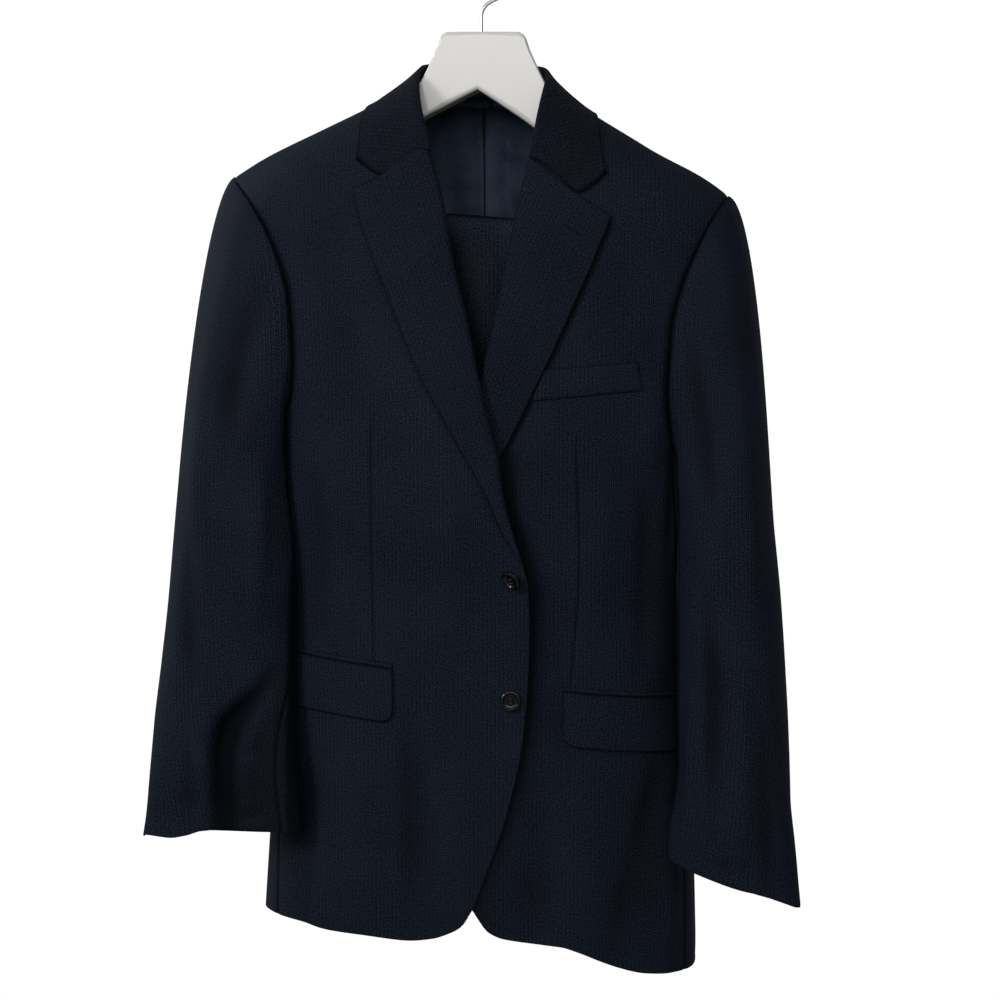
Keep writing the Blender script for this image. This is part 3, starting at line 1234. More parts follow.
# How much further the inner side reaches over the body: z, distance.
INNER_REACH = {RIGHT: [(-0.5, 0.002), (-0.6, 0.008), (-0.835, 0.008)],
               LEFT: [(-0.5, 0.0), (-0.835, 0.0)]}
# Beyond this distance from the centre a sleeve's front catches light: its steep inner side is dark.
INNER_RIDGE = {RIGHT: [(-0.36, 0.1655), (-0.51, 0.167), (-0.6, 0.1738), (-0.82, 0.1756)],
               LEFT: [(-0.36, 0.17), (-0.51, 0.175), (-0.6, 0.1845), (-0.82, 0.174)]}
# Between this line and its inner side a sleeve's front turns from the light: z, distance.
INNER_SHADE = {RIGHT: [(-0.69, 0.196), (-0.71, 0.214), (-0.737, 0.228), (-0.812, 0.23)],
               LEFT: [(-0.64, 0.2), (-0.7, 0.208), (-0.812, 0.21)]}
INNER_DEPTH = {RIGHT: 0.3, LEFT: 0.12}        # how dark it is there
# Folds, in millimetres: distance from the centre on the sleeve's front, z; height, width and skew.
SLEEVE_FOLDS = {
    RIGHT: [
        ([(222, -300), (232, -400), (228, -500)], -3.4, 11, 0.2),
        ([(252, -330), (256, -460), (250, -600)], 3, 12, 0.0),
        ([(196, -470), (200, -560), (204, -640)], 3, 9, 0.2),
        ([(262, -560), (264, -640), (258, -700)], -3, 8, -0.3),
        ([(189, -664.5), (193, -681), (205, -696), (216, -709.5), (225, -723),
          (230.4, -737), (233.4, -757), (233.9, -777), (233.4, -812), (231, -890)],
         -10, 9.8, -0.2),
        ([(249, -690), (247, -740), (246, -800)], 3.4, 7.5, 0.0),
        ([(262, -740), (262, -790), (266, -825)], -2.6, 7, 0.0),
        ([(200, -715), (210, -750), (214, -790)], 2.6, 6, 0.0),
        ([(224, -807), (210, -808), (198, -799)], -2.6, 4.5, 0.0),
        ([(207, -741), (212.5, -756)], -2, 5, 0.0),
        ([(169, -520), (168.5, -600), (168, -700), (169, -900)], -11, 5.2, 0.0),
    ],
    LEFT: [
        ([(215, -310), (214, -420), (208, -520)], -3.4, 11, -0.2),
        ([(244, -340), (246, -470), (244, -600)], 2.8, 12, 0.0),
        ([(204, -540), (212, -645.6), (211.6, -689), (212, -735), (214, -761),
          (217, -790)], -4.2, 9.2, 0.2),
        ([(194, -640), (193.3, -701), (192.7, -737), (194, -795)], 3.4, 6.5, 0.0),
        ([(238, -600), (242, -720), (236, -820)], 3.4, 10, 0.0),
        ([(258, -650), (262, -740), (266, -840)], -2.8, 8, 0.0),
        ([(222, -790), (232, -803), (240, -812)], -2.2, 5, 0.0),
    ],
}
# The same on the outside and the back of both sleeves: degrees round the sleeve, then metres.
HIND_FOLDS = [
    ([(330, -0.33), (325, -0.45), (330, -0.56)], -0.0022, 0.014, 0.1),
    ([(290, -0.48), (296, -0.6), (300, -0.72)], 0.0024, 0.012, 0.0),
    ([(255, -0.42), (262, -0.54), (270, -0.64)], -0.0026, 0.012, 0.2),
    ([(235, -0.56), (240, -0.64), (232, -0.72)], 0.002, 0.01, 0.0),
    ([(322, -0.64), (316, -0.74), (322, -0.815)], -0.0022, 0.01, 0.0),
]
SLEEVE_GIRTH = 0.06


# %% Where a sleeve starts and runs
def armhole_point(side, turn):
    """Points of the armhole for angles round the sleeve: 0 outside, pi/2 front, pi underarm."""
    parts = np.linspace(0, 1, 25)
    front, back = path(ARMHOLE_FRONT[side][::-1])(parts), path(ARMHOLE_BACK[side])(parts)
    front = on_cloth(side * front[:, 0], front[:, 1], FRONT)[0]
    back = on_cloth(side * back[:, 0], back[:, 1], BACK)[0]
    floor = np.array((sway(ARMHOLE_FLOOR) + side * half_width(ARMHOLE_FLOOR), 0.0, ARMHOLE_FLOOR))
    part = turn / (2 * pi) % 1.0
    before = path(front)(np.clip(part / 0.42, 0, 1) ** 1.6)
    under = path([front[-1], floor, back[0]])(np.clip((part - 0.42) / 0.16, 0, 1))
    behind = path(back)(1 - np.clip((1 - part) / 0.42, 0, 1) ** 1.6)
    part = part[..., None]
    return np.where(part < 0.42, before, np.where(part < 0.58, under, behind))


def sleeve_ring(side, z, turn):
    """Points of a sleeve's level section: z stays the section's level."""
    centre_x, half, centre_y, deep, twist = (curve(SLEEVE[side], k)(z) for k in range(1, 6))
    angle = turn + np.radians(twist)
    size = box_size(angle, SLEEVE_SQUARE)
    half = half + np.where(np.cos(angle) < 0, curve(INNER_REACH[side])(z), 0.0)
    x = side * (centre_x + half * size * np.cos(angle))
    return np.stack([x, centre_y - deep * size * np.sin(angle), z + 0 * x], axis=-1)


def clear_of_side(points, room):
    """Moves points straight away from the body's axis until they have this much room to it."""
    x, y, z = np.moveaxis(points, -1, 0)
    depth = body_depth(y, z) + room
    across = x - sway(z)
    size = (np.abs(across) / (half_width(z) + room)) ** SQUARE + (np.abs(y) / depth) ** SQUARE
    size = np.minimum(size ** (1 / SQUARE), 1.0)
    return np.stack([sway(z) + across / size, y / size, z], axis=-1)


def sleeve_room(z):
    """Room between the sleeve's outer face and the body, from the armhole down."""
    return blend(ARMHOLE_STAND, 0.0076, ease(z, -0.4, -0.47))


def sleeve_turn(side, x, z):
    """Angle of a place on the front of a sleeve, given by its distance from the centre."""
    part = np.clip((x - curve(SLEEVE[side], 1)(z)) / curve(SLEEVE[side], 2)(z), -0.999, 0.999)
    return np.arctan2(box_depth(np.abs(part), SLEEVE_SQUARE), part)


# %% Grid of a sleeve
def sleeve_points(side, turn, toward_fore=0.0, cap_rows=44, tube_rows=78):
    """Grid of a sleeve's outer face from the armhole, for angles round it.

    toward_fore is 1 for an angle on the front seam and 0 for one that the seam's shift doesn't move.
    """
    turn = np.asarray(turn)[None, :]
    edge = armhole_point(side, turn)
    up = outward(edge)
    start = edge + up * blend(ARMHOLE_STAND, HEAD_STAND[side], ease(np.cos(turn), 0.1, 0.7))[..., None]
    end = sleeve_ring(side, SLEEVE_TOP, turn)
    below = sleeve_ring(side, SLEEVE_TOP - 0.02, turn)
    reach = np.linalg.norm(end - start, axis=-1, keepdims=True)
    down = (1 - np.cos(turn)) / 2
    leave = unit(np.stack([side * blend(1.0, 0.25, down), -0.35 * np.sin(turn),
                           -blend(HEAD_SLOPE[side], 1.0, down)], axis=-1))
    side_step = unit(leave - up * (leave * up).sum(axis=-1, keepdims=True))
    hidden = [edge - side_step * 0.001 - up * 0.0042, edge + side_step * 0.0003 - up * 0.0006,
              blend(edge, start, 0.55) + side_step * 0.0002]
    leave, arrive = leave * reach * HEAD_REACH[side], unit(below - end) * reach * 0.55
    t = spread(cap_rows, CAP_STEPS)[:, None, None]
    cap = hermite(t, start, end, leave, arrive)
    low = (cap[..., 2] < -0.36) & (t[..., 0] > 0)
    cap = np.where(low[..., None], clear_of_side(cap, sleeve_room(cap[..., 2])), cap)
    t = spread(tube_rows, (), END_STEPS)[1:, None] ** 0.85
    level = blend(SLEEVE_TOP, SLEEVE[side][-1][0], t)
    turn = turn + np.radians(curve(SEAM_SHIFT[side])(level)) * toward_fore
    tube = clear_of_side(sleeve_ring(side, level, turn), sleeve_room(level))
    angle = np.degrees(turn) + curve(SLEEVE[side], 5)(level)
    tube[..., 2] -= curve(CUFF_DROP[side])(angle % 360) * ease(t, 0.45, 1.0)
    return np.concatenate([*hidden, cap, tube])


# %% Folds and map of a sleeve
def sleeve_fold(side, points, turn):
    """Height of the folds at points of a sleeve."""
    z = points[..., 2]
    angle = turn + np.radians(curve(SLEEVE[side], 5)(z))
    angle = np.where(angle > 1.25 * pi, angle - 2 * pi, angle)
    fore = [([(SLEEVE_GIRTH * float(sleeve_turn(side, x, z)), z) for x, z in line], *rest)
            for line, *rest in metres(SLEEVE_FOLDS[side])]
    hind = [([(SLEEVE_GIRTH * radians(a - 360), z) for a, z in line], *rest) for line, *rest in HIND_FOLDS]
    height = fold_height(SLEEVE_GIRTH * angle, z, fore)
    height += fold_height(SLEEVE_GIRTH * np.where(angle > 0.6 * pi, angle - 2 * pi, angle), z, hind)
    return height


def sleeve_map(side, points, first):
    """Metres round the sleeve from its outer side: a stripe keeps its place from the head to the cuff."""
    z = points[..., 2]
    centre_x, half, centre_y, deep, twist = (curve(SLEEVE[side], k)(z) for k in range(1, 6))
    angle = np.arctan2((centre_y - points[..., 1]) / deep, (side * points[..., 0] - centre_x) / half)
    start = radians(first - 20)
    angle = (angle - np.radians(twist) - start) % (2 * pi) + start
    turns = np.linspace(start, start + 2 * pi, 181)
    ring = sleeve_ring(side, -0.64 + 0 * turns, turns)
    length = np.concatenate([[0], np.cumsum(np.linalg.norm(np.diff(ring, axis=0), axis=1))])
    return side * np.interp(angle, turns, length)


# %% Sleeves
for side, word in WORDS.items():
    for part, first, last, count in (("top", HIND_SEAM, FORE_SEAM + 360, 76),
                                     ("under", FORE_SEAM, HIND_SEAM, 46)):
        gap = np.degrees(0.5 * SEAM / SLEEVE_GIRTH)
        steps = spread(count, PANEL_STEPS, PANEL_STEPS)
        turns = np.radians(blend(first + gap, last - gap, steps))
        toward = steps if part == "top" else 1 - steps
        points = sleeve_points(side, turns, toward)
        turns = turns + np.radians(curve(SEAM_SHIFT[side])(points[..., 2])) * toward
        across, along = sleeve_map(side, points, first), points[..., 2]
        normals = unit(np.cross(np.gradient(points, axis=1), np.gradient(points, axis=0))) * side
        ring = points[CHECK_ROW, :, :2]
        if (normals[CHECK_ROW, :, :2] * (ring - ring.mean(axis=0))).sum() < 0:
            normals = -normals
        low = np.clip(run_along(points, 0) / 0.05, 0, 1)
        height = sleeve_fold(side, points, turns) * low
        points = points + normals * height[..., None]
        x, y, z = np.moveaxis(points, -1, 0)
        beyond = z < -0.46
        points = np.where(beyond[..., None], clear_of_side(points, 0.006 + 0 * z), points)
        points, hollow = rolled(points, normals, [(1, False), (1, True)])
        hollow = np.maximum(hollow, 0.92 * near_edge(points, [(0, False)], 0.0052))
        x, y, z = np.moveaxis(points, -1, 0)
        steep = ease(curve(INNER_RIDGE[side])(z) - side * x, -0.0006, 0.0026) * ease(-z, 0.34, 0.42)
        turned_in = ease(curve(INNER_SHADE[side])(z) - side * x, -0.004, 0.006) * ease(-z, 0.69, 0.725)
        inner = np.maximum(0.85 * steep, INNER_DEPTH[side] * turned_in) * (y < 0.0)
        hollow = np.maximum(hollow, np.maximum(inner, 0.86 * cavity(height, 0.007)))
        cloth(f"{word}_{part}_sleeve_cloth", points, normals, across + (0.3 if part == "under" else 0),
              along, CLOTH, f"{word}_{part}_sleeve", ALL_WOOL, hollow)

# %% [markdown]
# ## Pockets
#
# Each hip pocket is a slit bound by a narrow jetting, with a flap that hangs out of it and has rounded
# lower corners. The breast pocket has a slanted welt. All of them are thin layers on the front, so they
# read the same body form and folds, and they are a little thicker in the middle than at their pressed
# edges.

# %% Pocket sizes
POCKET_TOP = {RIGHT: -0.6575, LEFT: -0.661}
POCKET_INNER = {RIGHT: 0.0755, LEFT: 0.0795}
POCKET_OUTER = {RIGHT: 0.176, LEFT: 0.186}
FLAP_HEIGHT, FLAP_CORNER, JET_HEIGHT = 0.049, 0.011, 0.005
CORNER_STEPS = (0.005, 0.012, 0.025, 0.045)
# Breast welt: its four corners, from the inner top round by the outer top.
WELT = [(0.0612, -0.3733), (0.1439, -0.3588), (0.1483, -0.3836), (0.0493, -0.4022)]


# %% Flaps, jettings and welt
ALL_ROUND = [(0, False), (0, True), (1, False), (1, True)]


def pocket_cloth(node, x, z, lift, wall):
    """A thin layer that lies on a front, lifted off the body, with its edges in shade all round."""
    points, normals = on_cloth(x, z, FRONT, lift)
    across = x[:, :1] + run_along(points, 1) * np.sign(x[0, -1] - x[0, 0])
    cloth(node + "_cloth", points, normals, across, z + 0 * x, wall, node, ALL_WOOL,
          0.65 * near_edge(points, ALL_ROUND, 0.001))


for side, word in WORDS.items():
    top, inner = POCKET_TOP[side], POCKET_INNER[side]
    width = POCKET_OUTER[side] - inner
    place = width * spread(44, CORNER_STEPS, CORNER_STEPS)
    near = np.minimum(place, width - place)
    rise = FLAP_CORNER - np.sqrt(np.maximum(FLAP_CORNER ** 2 - np.maximum(FLAP_CORNER - near, 0) ** 2, 0))
    up = spread(22, (0.01, 0.03))[:, None]
    x = side * (inner + place)[None, :] + 0 * up
    z = blend(top - FLAP_HEIGHT + rise, top, up)
    hem = np.minimum(near[None, :], (z - (top - FLAP_HEIGHT + rise)))
    crown = 0.0007 * (1 - np.exp(-np.maximum(hem, 0) / 0.004))
    lift = panel_lift(side, x, z) + 2 * REST + 0.001 * (1 - up) + FLAP_WALL + crown
    pocket_cloth(f"{word}_flap", x, z, lift, FLAP_WALL)
    up = np.linspace(0, 1, 9)[:, None]
    x = side * (inner + place)[None, :] + 0 * up
    z = top + SEAM + JET_HEIGHT * up + 0 * x
    lift = panel_lift(side, x, z) + 0.0004 + 0.0016 * np.sin(pi * (0.08 + 0.84 * up)) + 0 * x
    pocket_cloth(f"{word}_jetting", x, z, lift, TRIM_WALL * 0.6)

inner_top, outer_top, outer_foot, inner_foot = (np.array(corner) for corner in WELT)
up = spread(16, (0.03,), (0.03,))[:, None, None]
across = spread(40, (0.01, 0.03), (0.01, 0.03))[None, :, None]
spots = blend(blend(inner_foot, outer_foot, across), blend(inner_top, outer_top, across), up)
edge = np.minimum(np.minimum(up, 1 - up) * 0.026, np.minimum(across, 1 - across) * 0.084)[..., 0]
lift = REST + TRIM_WALL + 0.0009 * (1 - np.exp(-edge / 0.0025))
pocket_cloth("breast_welt", spots[..., 0], spots[..., 1], lift, TRIM_WALL)

# %% [markdown]
# ## Lining in the neck
#
# The back is lined with satin. Down its centre the lining has a pleat, so that it doesn't pull when the
# wearer moves, and the open pleat shows as a dark slit under the collar. Satin is slack and thin: it
# hangs in soft ripples between the seams.

# %% Back lining
LINING_HALF, LINING_TOP, LINING_FOOT, LINING_WALL = 0.1, -0.129, -0.3, 0.001
PLEAT_X, PLEAT_DEPTH = -0.0065, 0.004
LINING_FOLDS = [        # in millimetres, as on the back
    ([(-45, -150), (-40, -200), (-44, -260)], -3, 8, 0.0),
    ([(-22, -140), (-20, -190), (-24, -280)], 2.2, 6, 0.2),
    ([(18, -140), (16, -200), (22, -270)], 3, 7, 0.0),
    ([(36, -150), (40, -210), (34, -280)], -3, 8, -0.2),
    ([(4, -160), (30, -175), (50, -172)], 2, 5, 0.0),
]
places = np.array(sorted(set(np.round(np.linspace(-LINING_HALF, LINING_HALF, 61), 5))
                         | {PLEAT_X + d for d in (-0.004, -0.002, -0.0008, 0.0, 0.0006, 0.0014, 0.003)}))
up = 1 - (1 - np.linspace(0, 1, 40)) ** 1.4
x = places[None, :] + 0 * up[:, None]
top = np.minimum(LINING_TOP, shoulder(np.abs(places)) - neck_drop(places) - 0.004)
z = blend(LINING_FOOT, top[None, :], up[:, None])
fold = PLEAT_DEPTH * ease(x, -0.022, PLEAT_X - 0.002) * (x < PLEAT_X)
open_by = blend(0.001, 0.0034, ease(z, -0.172, -0.142))
slit = np.maximum(0.95 * bell(x - PLEAT_X - 0.0002, open_by),
                  0.36 * (1 - ease(x, PLEAT_X - 0.004, PLEAT_X + 0.0005)))
slit = np.maximum(slit, 0.8 * bell(top[None, :] - z, 0.013))
near_top = 0.003 * (1 - ease(shoulder(np.abs(x)) - z, 0.03, 0.1))
slack = fold_height(x, z, metres(LINING_FOLDS)) * (1 - up[:, None] ** 6)
points = on_body(x, z, BACK, -(CLOTH + 8 * REST + fold + near_top) - np.maximum(slack, -0.0025))
normals = -outward(points)
points = points + normals * LINING_WALL
cloth("back_lining_cloth", points, normals, x, z, LINING_WALL, "back_lining",
      (lining_satin, lining_satin), slit)

# %% [markdown]
# ## Trousers over the bar
#
# The trousers are pressed flat along their creases, laid leg on leg and folded over the bar. Each leg is
# a flattened tube whose two long edges are the pressed creases. The tube follows the hanging part in
# front, the half turn over the bar and the hanging part behind, where the waistband closes the stack.

# %% Trouser sizes
BAR_LEVEL, BAR_RADIUS, BAR_HALF = -0.255, 0.006, 0.1776
TROUSER_STACK, TROUSER_X = 0.01, -0.002
HEM_LEVEL, WAIST_LEVEL, BAND_HEIGHT = -0.775, -0.785, 0.04
# Half width of the folded trousers along their length, from the hem: distance, half width.
TROUSER_WIDTH = [(0.0, 0.105), (0.25, 0.111), (0.45, 0.117), (0.54, 0.121), (0.7, 0.139),
                 (0.83, 0.15), (0.93, 0.143), (1.06, 0.119)]
FOLD_RADIUS = BAR_RADIUS + 2 * REST + TROUSER_STACK / 2
ROLL_SHADE_X = 0.008     # how far to its own side the right lapel's roll throws its shade
TROUSER_RUN = BAR_LEVEL - HEM_LEVEL + pi * FOLD_RADIUS + BAR_LEVEL - WAIST_LEVEL


def drape_frame(distance):
    """Points and outward directions, in y and z, of the trousers' middle, from the hem over the bar."""
    rise = BAR_LEVEL - HEM_LEVEL
    bend = np.clip((distance - rise) / FOLD_RADIUS, 0, pi)
    up = np.where(distance < rise, distance - rise, 0.0)
    down = np.maximum(distance - rise - pi * FOLD_RADIUS, 0.0)
    y = -FOLD_RADIUS * np.cos(bend)
    z = BAR_LEVEL + FOLD_RADIUS * np.sin(bend) + up - down
    return np.stack([y, z], axis=-1), np.stack([-np.cos(bend), np.sin(bend)], axis=-1)


# %% Legs and waistband
def flat_tube(distances, offset, half, thick, waves=0.0):
    """Grid round a flattened tube that follows the fold over the bar."""
    turn = np.linspace(0, 2 * pi, 145)[None, :]
    middle, out = (value[:, None] for value in drape_frame(distances))
    wide = half[:, None]
    x = TROUSER_X + (wide - thick / 2) * np.clip(1.3 * np.cos(turn), -1, 1)
    tip = np.clip(np.abs(1.3 * np.cos(turn)) - 1, 0, 0.3) / 0.3
    x = x + np.sign(np.cos(turn)) * thick / 2 * np.sin(tip * pi / 2)
    across = thick / 2 * np.sign(np.sin(turn)) * np.cos(tip * pi / 2)
    ripple = waves * np.sin(x * 38 + distances[:, None] * 4) * np.sin(pi * distances[:, None] / TROUSER_RUN)
    y, z = (middle[..., k] + out[..., k] * (offset + across + ripple) for k in range(2))
    return np.stack([x, y, z], axis=-1), turn


width = curve(TROUSER_WIDTH)
seat_end = TROUSER_RUN - BAND_HEIGHT
over_bar = BAR_LEVEL - HEM_LEVEL + np.array((0, pi * FOLD_RADIUS))
leg_steps = np.array(sorted({*np.linspace(0, seat_end, 120), 0.0008, 0.002, *np.linspace(*over_bar, 15)}))
band_steps = np.concatenate([seat_end + np.array((SEAM, 0.001, 0.003, 0.012, 0.024)),
                             TROUSER_RUN - np.array((0.003, 0.001, 0.0))])
for name, node, steps, offset, grow, thick, wall, waves in (
        ("upper_leg_cloth", "trouser_legs", leg_steps, 0.00255, 0.0, 0.0046, 0.0012, 0.0004),
        ("lower_leg_cloth", "trouser_legs", leg_steps, -0.00255, -0.0015, 0.0046, 0.0012, 0.0004),
        ("waistband_cloth", "trouser_waistband", band_steps, 0.0, 0.0012, 0.012, 0.002, 0.0)):
    points, turn = flat_tube(steps, offset, width(steps) + grow, thick, waves)
    out = drape_frame(steps)[1][:, None] * np.sign(np.sin(turn))[..., None]
    normals = np.concatenate([0 * out[..., :1], out], axis=-1)
    x, y, z = np.moveaxis(points, -1, 0)
    crest = 0.9 * bell(z - BAR_LEVEL - FOLD_RADIUS - 0.0045, 0.0022)
    beside = np.maximum(x + curve(EDGE[RIGHT])(z) + ROLL_SHADE_X, 0)
    shaded = 0.85 * bell(beside, 0.0105) * ease(-z, 0.235, 0.275) * (y < 0)
    cloth(name, points, normals, x, steps[:, None] + 0 * turn, wall, node,
          (trouser_wool, trouser_wool), np.maximum(crest, shaded), closed=True)

# %% [markdown]
# ## Hanger
#
# The hanger is a thick moulded body: a flat-topped head, two arms that slope to the shoulders, and a
# straight bar between the arms. It is extruded by hand from a rounded upright section at one end: each
# step moves the end face to the next station and scales it to that station's height and thickness. Its
# underside slants up towards the back, as such a moulding does, so it keeps in shade.

# %% Table of the hanger
# Along one arm: distance from the centre, top, underside, half thickness.
HANGER = [
    (0.0, -0.0733, -0.1262, 0.014), (0.018, -0.0733, -0.1364, 0.014),
    (0.0335, -0.0735, -0.1455, 0.014), (0.0378, -0.076, -0.148, 0.014),
    (0.0415, -0.086, -0.1502, 0.014), (0.0468, -0.0975, -0.1535, 0.0142),
    (0.0545, -0.1135, -0.1585, 0.0145), (0.062, -0.1245, -0.163, 0.015),
    (0.08, -0.1333, -0.174, 0.0156), (0.11, -0.149, -0.192, 0.0168),
    (0.145, -0.168, -0.21, 0.0172), (0.174, -0.1836, -0.229, 0.0172),
    (0.181, -0.1874, -0.264, 0.0168), (0.2, -0.1987, -0.265, 0.0158),
    (0.212, -0.2085, -0.256, 0.014),
]
ARCH_X = -0.0047          # the underside's peak is a little to the right of the middle
UNDER_SLANT = 0.16        # rise of the underside per metre towards the back
print("hanger's half length", HANGER[-1][0])


# %% Helpers for hard pieces
def hand_over(piece, finish, node=None):
    """Gives a hard piece its finish and tells the frame about it."""
    piece.data.materials.clear()
    piece.data.materials.append(finish)
    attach(piece, "root")
    if node:
        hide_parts(node)
    print(f"{piece.name}: {len(piece.data.polygons)} faces")


def finish_hard(piece, name, node, finish):
    """Puts the piece's place in its mesh, shades it and hands it to the frame."""
    piece.name = piece.data.name = name
    select_only(piece)
    bpy.ops.object.transform_apply(location=True, rotation=True, scale=True)
    edit_all(bpy.ops.mesh.normals_make_consistent, inside=False)
    bpy.ops.object.shade_smooth_by_angle(angle=radians(35))
    apply_modifier(piece, "WEIGHTED_NORMAL", keep_sharp=True)
    hand_over(piece, finish, node)


# %% Hanger body
def hanger_station(x):
    """Place of the section's middle, its half height and half thickness, with the suit's lean."""
    near = float(1 - ease(abs(x), 0.06, 0.11))
    top, deep = (float(curve(HANGER, column)(abs(x))) for column in (1, 3))
    foot = float(curve(HANGER, 2)(abs(x - ARCH_X * near))) + (0.002 - 0.04 * x) * near
    top += (0.0018 + 0.028 * x) * near
    middle = (top + foot) / 2
    return Vector((x, 0, middle - float(lean(middle)) * x)), (top - foot) / 2, deep


places = [row[0] for row in HANGER]
stations = sorted(set(np.round(np.concatenate([places, np.linspace(0, places[-1], 34)]), 4)))
stations = sorted([-x for x in stations[:0:-1]] + stations + [ARCH_X])
spot, tall, deep = hanger_station(stations[0])
bpy.ops.mesh.primitive_plane_add(size=2, location=spot, rotation=(0, radians(90), 0))
body = bpy.context.object
body.scale = (tall, deep, 1)
bpy.ops.object.transform_apply(location=False, rotation=False, scale=True)
bpy.ops.object.mode_set(mode="EDIT")
bpy.ops.mesh.select_mode(type="VERT")
bpy.ops.mesh.select_all(action="SELECT")
bpy.ops.mesh.bevel(offset=0.0036, segments=4, affect="VERTICES")
bpy.ops.mesh.select_all(action="SELECT")
for x in stations[1:]:
    here, high, thick = hanger_station(x)
    bpy.ops.mesh.extrude_region_move(TRANSFORM_OT_translate={"value": here - spot})
    bpy.ops.transform.resize(value=(1, thick / deep, high / tall), center_override=here)
    spot, tall, deep = here, high, thick
bpy.ops.object.mode_set(mode="OBJECT")
for vertex in body.data.vertices:       # the underside slants up towards the back
    place = body.location + vertex.co
    if place.z < hanger_station(place.x)[0].z:
        vertex.co.z += UNDER_SLANT * (place.y + HANGER[0][3])
apply_modifier(body, "BEVEL", limit_method="ANGLE", angle_limit=radians(50), width=0.0025, segments=4)
finish_hard(body, "hanger_arms", "hanger_body", white_plastic)

# %% Trouser bar
bar_ends = [Vector((x, 0, BAR_LEVEL - float(lean(BAR_LEVEL)) * x)) for x in (-BAR_HALF, BAR_HALF)]
run = bar_ends[1] - bar_ends[0]
bpy.ops.mesh.primitive_cylinder_add(vertices=32, radius=BAR_RADIUS, depth=run.length,
                                    location=(bar_ends[0] + bar_ends[1]) / 2,
                                    rotation=run.to_track_quat("Z", "Y").to_euler())
bar = bpy.context.object
bpy.ops.object.mode_set(mode="EDIT")
bpy.ops.mesh.select_mode(type="FACE")
bpy.ops.mesh.select_all(action="DESELECT")
bpy.ops.object.mode_set(mode="OBJECT")
for face in bar.data.polygons:
    face.select = len(face.vertices) > 4
bpy.ops.object.mode_set(mode="EDIT")
bpy.ops.mesh.inset(thickness=0.0012, depth=0.0008)
bpy.ops.object.mode_set(mode="OBJECT")
finish_hard(bar, "trouser_bar", "hanger_bar", white_plastic)

# %% [markdown]
# ## Hook
#
# The hook is one bent wire. Its round section stands on the hanger's head, goes up as a straight shank,
# bends a little and is then spun round the rail in one large arc, just as the wire is bent on a mandrel.

# %% Hook
HOOK_WIRE, HOOK_INNER, HOOK_X = 0.00165, 0.0215, -0.0025
foot = HANGER[0][1] + SEAM
bpy.ops.mesh.primitive_circle_add(vertices=20, radius=HOOK_WIRE, fill_type="NGON",
                                  location=(HOOK_X, 0, foot))
hook = bpy.context.object
bpy.ops.object.transform_apply(location=True)
bpy.ops.object.mode_set(mode="EDIT")
bpy.ops.mesh.select_all(action="SELECT")
bow = HOOK_INNER + HOOK_WIRE
first, last = radians(-52), radians(205)
start = Vector((bow * cos(first), 0, bow * sin(first) - HOOK_INNER))
bends = [(HOOK_X, -0.059, 0), (HOOK_X, -0.056, 0), (HOOK_X + 0.0004, -0.053, 12),
         (HOOK_X + 0.002, -0.0492, 18), (HOOK_X + 0.0052, -0.0454, 12),
         ((HOOK_X + 0.0052 + start.x) / 2 - 0.0004, (start.z - 0.0454) / 2 + 0.0004, 6),
         (start.x, start.z, 4)]
spot = Vector((HOOK_X, 0, foot))
for x, z, turn in bends:
    here = Vector((x, 0, z))
    bpy.ops.mesh.extrude_region_move(TRANSFORM_OT_translate={"value": here - spot})
    bpy.ops.transform.rotate(value=radians(-turn), orient_axis="Y", center_override=here)
    spot = here
bpy.ops.mesh.spin(steps=44, angle=last - first, center=(0, 0, -HOOK_INNER), axis=(0, 1, 0))
bpy.ops.mesh.inset(thickness=0.0004, depth=0.0003)
bpy.ops.object.mode_set(mode="OBJECT")
finish_hard(hook, "wire_hook", "hook", bright_wire)

# %% [markdown]
# ## Buttons
#
# A suit button is a small turned disc with a raised rim, a shallow dish and four holes. Thread crosses the
# holes in two bars and wraps into a short shank under the button. One button is modelled at the origin,
# and each copy gets its own mesh, scaled and turned to its place.

# %% One button
BUTTON_RADIUS, CUFF_BUTTON_RADIUS, SHANK = 0.0094, 0.0073, 0.001
# Cuff buttons: degrees past the hind seam, height of the first over the edge, step between two.
CUFF_BUTTON_TURN, CUFF_BUTTON_FROM, CUFF_BUTTON_STEP = 8.25, 0.036, 0.0165


def top_faces(piece, above):
    """Selects the upward faces of a piece above a height, for the next operator."""
    bpy.ops.mesh.select_all(action="DESELECT")
    bpy.ops.object.mode_set(mode="OBJECT")
    for face in piece.data.polygons:
        face.select = face.normal.z > 0.9 and face.center.z > above
    bpy.ops.object.mode_set(mode="EDIT")


